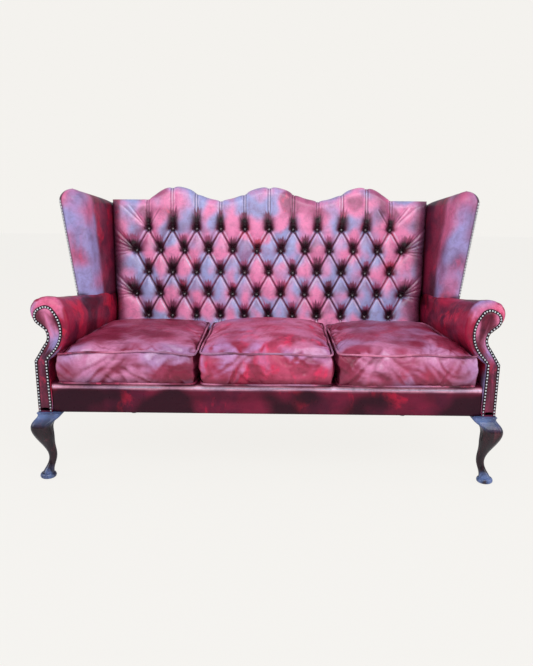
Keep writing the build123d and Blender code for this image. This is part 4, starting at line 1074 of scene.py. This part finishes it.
def cushion_plan(corners, qx, qy):
    """Place of (qx, qy) in -1 to 1 on a cushion whose corners run from the front left round."""
    drawn_x = 1 - 0.026 * np.abs(qy) ** 8 - 0.012 * (1 - qy ** 2) * np.abs(qx)
    drawn_y = 1 - 0.030 * np.abs(qx) ** 8 - 0.008 * (1 - qx ** 2) * np.abs(qy)
    sx, sy = (qx * drawn_x + 1) / 2, (qy * drawn_y + 1) / 2
    weights = ((1 - sx) * (1 - sy), sx * (1 - sy), sx * sy, (1 - sx) * sy)
    return [sum(w * c[axis] for w, c in zip(weights, corners)) for axis in (0, 1)]


def cushion_mesh(name, corners, crown, across, deep, bands):
    """A box cushion with a crowned top, and the vertices of its two seams and its bottom."""
    qx = np.linspace(-1, 1, across + 1)
    qy = np.linspace(-1, 1, deep + 1)
    middle = np.mean(corners, axis=0)
    cells = [(i, j) for j in range(deep + 1) for i in range(across + 1)]
    points, index, faces = [], {}, []
    for i, j in cells:
        rise = (1 - abs(qx[i]) ** 2.4) ** 0.62 * (1 - abs(qy[j]) ** 2.6) ** 0.60
        droop = 0.007 * max(abs(qx[i]) - 0.6, 0) * max(-qy[j] - 0.5, 0) / 0.2
        index["top", i, j] = len(points)
        crowned = SEAT_HIGH + crown * 0.93 * rise * (1 + 0.10 * qy[j]) - droop
        points.append((*cushion_plan(corners, qx[i], qy[j]), crowned))
    ring = [(i, 0) for i in range(across)] + [(across, j) for j in range(deep)]
    ring += [(i, deep) for i in range(across, 0, -1)] + [(0, j) for j in range(deep, 0, -1)]
    for b in range(1, bands):
        t = b / bands
        bulge = 0.005 * sin(pi * t ** 0.9)
        for i, j in ring:
            x, y = cushion_plan(corners, qx[i], qy[j])
            x += copysign(bulge, x - middle[0]) * (i in (0, across)) * 0.8
            y += copysign(bulge * 1.8, y - middle[1]) * (j == 0)
            top_z = points[index["top", i, j]][2]
            index[b, i, j] = len(points)
            points.append((x, y, top_z + (SEAT_LOW - top_z) * t))
    for i, j in cells:
        index["low", i, j] = len(points)
        points.append((*cushion_plan(corners, qx[i], qy[j]), SEAT_LOW))
    for j in range(deep):
        for i in range(across):
            cell = [(i, j), (i + 1, j), (i + 1, j + 1), (i, j + 1)]
            faces.append([index["top", p, q] for p, q in cell])
            faces.append([index["low", p, q] for p, q in cell[::-1]])
    levels = [[index[level, i, j] for i, j in ring] for level in ("top", *range(1, bands), "low")]
    for upper, lower in zip(levels[:-1], levels[1:]):
        for k in range(len(ring)):
            after = (k + 1) % len(ring)
            faces.append([upper[k], lower[k], lower[after], upper[after]])
    mesh = bpy.data.meshes.new(name)
    mesh.from_pydata(points, [], faces)
    return mesh, levels[0], levels[-1], [index["low", i, j] for i, j in cells]


def puff_up(piece, top_seam, bottom):
    """Lets the filling's pressure round the leather out between its seams."""
    start = np.array([v.co for v in piece.data.vertices])
    group = piece.vertex_groups.new(name="held")
    group.add(top_seam, 0.85, "REPLACE")
    group.add(bottom, 1.0, "REPLACE")
    cloth = piece.modifiers.new("cloth", "CLOTH")
    for key, value in CLOTH_SETTINGS.items():
        setattr(cloth.settings, key, value)
    cloth.settings.effector_weights.gravity = 0
    cloth.point_cache.frame_start = 1
    cloth.point_cache.frame_end = CLOTH_FRAMES
    for step in range(1, CLOTH_FRAMES + 1):
        bpy.context.scene.frame_set(step)
    moved = piece.evaluated_get(bpy.context.evaluated_depsgraph_get()).data
    change = np.array([v.co for v in moved.vertices]) - start
    piece.modifiers.clear()
    piece.vertex_groups.clear()
    bpy.context.scene.frame_set(1)
    length = np.linalg.norm(change, axis=1, keepdims=True)
    end = start + change * np.minimum(1, LONGEST_MOVE / np.maximum(length, 1e-9))
    piece.data.vertices.foreach_set("co", end.ravel())


def creases(points, axes, turn, long, wide, seed, sharp=0.20):
    """Folds at an angle in the plane of two axes: 1 in their valleys, about -0.5 on the ridges beside."""
    c, s = cos(radians(turn)), sin(radians(turn))
    a, b = points[:, axes[0]], points[:, axes[1]]
    turned = np.stack([(a * c + b * s) / long, (b * c - a * s) / wide, np.full(len(a), seed)], axis=-1)
    off = np.abs(cloud(turned, 1.0)) / sharp
    lines = unit(1 - off) ** 1.3 - 0.5 * hump(off, 0.45, 1.3)
    return lines * ease(cloud(points, 7.0, seed * 1.7), -0.08, 0.16)


def refined(piece):
    """Swaps a piece's mesh for one finer by a step."""
    finer = piece.modifiers.new("finer", "SUBSURF")
    finer.levels = finer.render_levels = 1
    fine = bpy.data.meshes.new_from_object(piece.evaluated_get(bpy.context.evaluated_depsgraph_get()))
    piece.modifiers.clear()
    piece.data = fine
    return fine


def make_cushion(name, corners, crown, material, seed, front_sheen, top_sheen):
    mesh, top_seam, low_seam, bottom = cushion_mesh(name, corners, crown, 44, 50, 9)
    piece = place_object(name, mesh)
    puff_up(piece, top_seam, bottom)
    start = np.array([v.co for v in mesh.vertices])
    sway = cloud(start, 5.5, seed + 40)
    edge = 1 - ease(start[:, 2], SEAT_HIGH - 0.004, SEAT_HIGH + 0.030)
    held = ease(start[:, 2], SEAT_LOW, SEAT_LOW + 0.05)
    start[:, 2] += 0.011 * sway * held * (0.4 + 0.6 * edge)
    ahead_of_facing = 1 - ease(start[:, 1], -0.402, -0.385)
    flare = 0.010 * ahead_of_facing * ease(np.abs(start[:, 0]), 0.66, 0.775)
    start[:, 0] += np.sign(start[:, 0]) * flare
    start[:, 1] += 0.006 * cloud(start, 6.0, seed + 47) * edge * (start[:, 1] < -0.3)
    mesh.vertices.foreach_set("co", start.ravel())
    fine = refined(piece)
    points = np.array([v.co for v in fine.vertices])
    normals = np.array([v.normal for v in fine.vertices])
    up = ease(normals[:, 2], 0.45, 0.8)
    ahead = ease(-normals[:, 1], 0.5, 0.85)
    aside = ease(np.abs(normals[:, 0]), 0.5, 0.85)
    x, y, z = points.T
    near_edge = 1 - ease(z, SEAT_HIGH + 0.008, SEAT_HIGH + crown)
    folds = band = 0
    for depth, turn, long, wide, more, still in TOP_FOLDS:
        lines = creases(points, (0, 1), turn, long, wide, seed + more)
        folds = folds + depth * lines * (still + (1 - still) * near_edge)
    for depth, turn, long, wide, more, sharp in BAND_FOLDS:
        band = band + depth * creases(points, (0, 2), turn, long, wide, seed + more, sharp)
    folds *= up
    band *= np.maximum(ahead, aside) * (1 - 0.6 * ease(np.abs(x), 0.64, 0.73))
    swell = cloud(points * np.array([9.0, 9.0, 14.0]), 1.0, seed + 5)
    swell *= 0.0060 * ahead * (1 - aside) + 0.0040 * up
    small = cloud(points, 26.0, seed + 9) * 0.0010
    points = points + normals * (swell + small * (1 - 0.5 * up) - folds - band)[:, None]
    points[:, 2] = np.maximum(points[:, 2], SEAT_LOW)
    fine.vertices.foreach_set("co", points.ravel())
    # Painted sheen along the crown, the front seam and the band's upper part, painted highlights on the
    # ridges beside the folds, and painted shade in the folds, low on the band, on the sides and towards the
    # rear
    sheen_level = cloud(points, 8.0, seed + 2) + 0.4 * cloud(points, 20.0, seed + 31)
    level = (z - SEAT_LOW) / (SEAT_HIGH - SEAT_LOW)
    light = ahead * (0.10 + front_sheen + 0.62 * ease(level, 0.30, 0.95) + 1.1 * sheen_level)
    light += up * (1 - ease(y, -0.40, -0.20)) * (0.30 + 1.0 * sheen_level) + up * (0.12 + top_sheen + 0.7 * sheen_level)
    light -= 110 * (folds * up + 0.8 * band * ahead)
    dark = 0.60 * ahead * (1 - ease(level, 0.04, 0.34)) + 0.75 * aside * (1 - ahead)
    dark = np.maximum(dark, 0.18 * up * ease(y, -0.02, 0.17))
    dark = np.maximum(dark, 55 * (folds * up + band * ahead))
    warm = unit(0.55 + 1.3 * cloud(points, 6.0, 60.0))
    wear_and_painted_light = {"light": np.clip(light, 0, 1.25), "dark": unit(dark), "warm": warm}
    finish_skin(fine, wear_and_painted_light, LEATHERS[material])
    smoother = piece.modifiers.new("smooth", "SUBSURF")
    smoother.levels = smoother.render_levels = 1
    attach(piece, name)
    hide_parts(name + "_cover", name + "_filling")
    pipe(name, [start[top_seam], start[low_seam]])


def pipe(cushion, rings):
    """Piping that follows the cushion's two seams."""
    points, faces = [], []
    around = 10
    for ring, rise in zip(rings, (0.001, 0)):
        ring = smooth_ring(ring, 2)
        count = len(ring)
        centre = ring.mean(0)
        base = len(points)
        for i in range(count):
            along = ring[(i + 1) % count] - ring[i - 1]
            out = np.array([along[1], -along[0], 0.0])
            out /= np.linalg.norm(out)
            if np.dot(out, ring[i] - centre) < 0:
                out = -out
            place = ring[i] + out * 0.0032
            place[2] = max(place[2] + rise, DECK_Z + 0.001 + PIPE_RADIUS)
            for a in range(around):
                angle = 2 * pi * a / around
                points.append(place + PIPE_RADIUS * (cos(angle) * out + sin(angle) * np.array([0, 0, 1.0])))
        for i in range(count):
            here, after = base + i * around, base + (i + 1) % count * around
            for a in range(around):
                b = (a + 1) % around
                faces.append([here + a, here + b, after + b, after + a])
    points = np.array(points)
    # Painted sheen in patches along the piping
    wear_and_painted_light = {"light": unit(0.5 + 1.5 * cloud(points, 9.0, 3.0)), "dark": np.zeros(len(points))}
    make_mesh(
        cushion + "_piping_skin", points, faces, "piping_leather", wear_and_painted_light,
        body=cushion, replaces=[cushion + "_piping"],
    )


# Each cushion's X at its front and rear corners, crown, leather, seed, and added painted sheen on its front
# and its top
CUSHIONS = {
    "centre": ((-0.2465, 0.2465), (-0.2465, 0.2465), 0.041, "cushion_red", 11.0, -0.12, 0.38),
    "left": ((-0.7750, -0.2640), (-0.7040, -0.2640), 0.027, "cushion_leather", 23.0, 0.50, 0.04),
    "right": ((0.2640, 0.7750), (0.2640, 0.7040), 0.027, "cushion_leather", 37.0, -0.06, 0.16),
}
for place, (front, rear, *look) in CUSHIONS.items():
    corners = [(x, CUSHION_FRONT) for x in front] + [(x, CUSHION_REAR) for x in rear[::-1]]
    make_cushion("cushion_" + place, corners, *look)
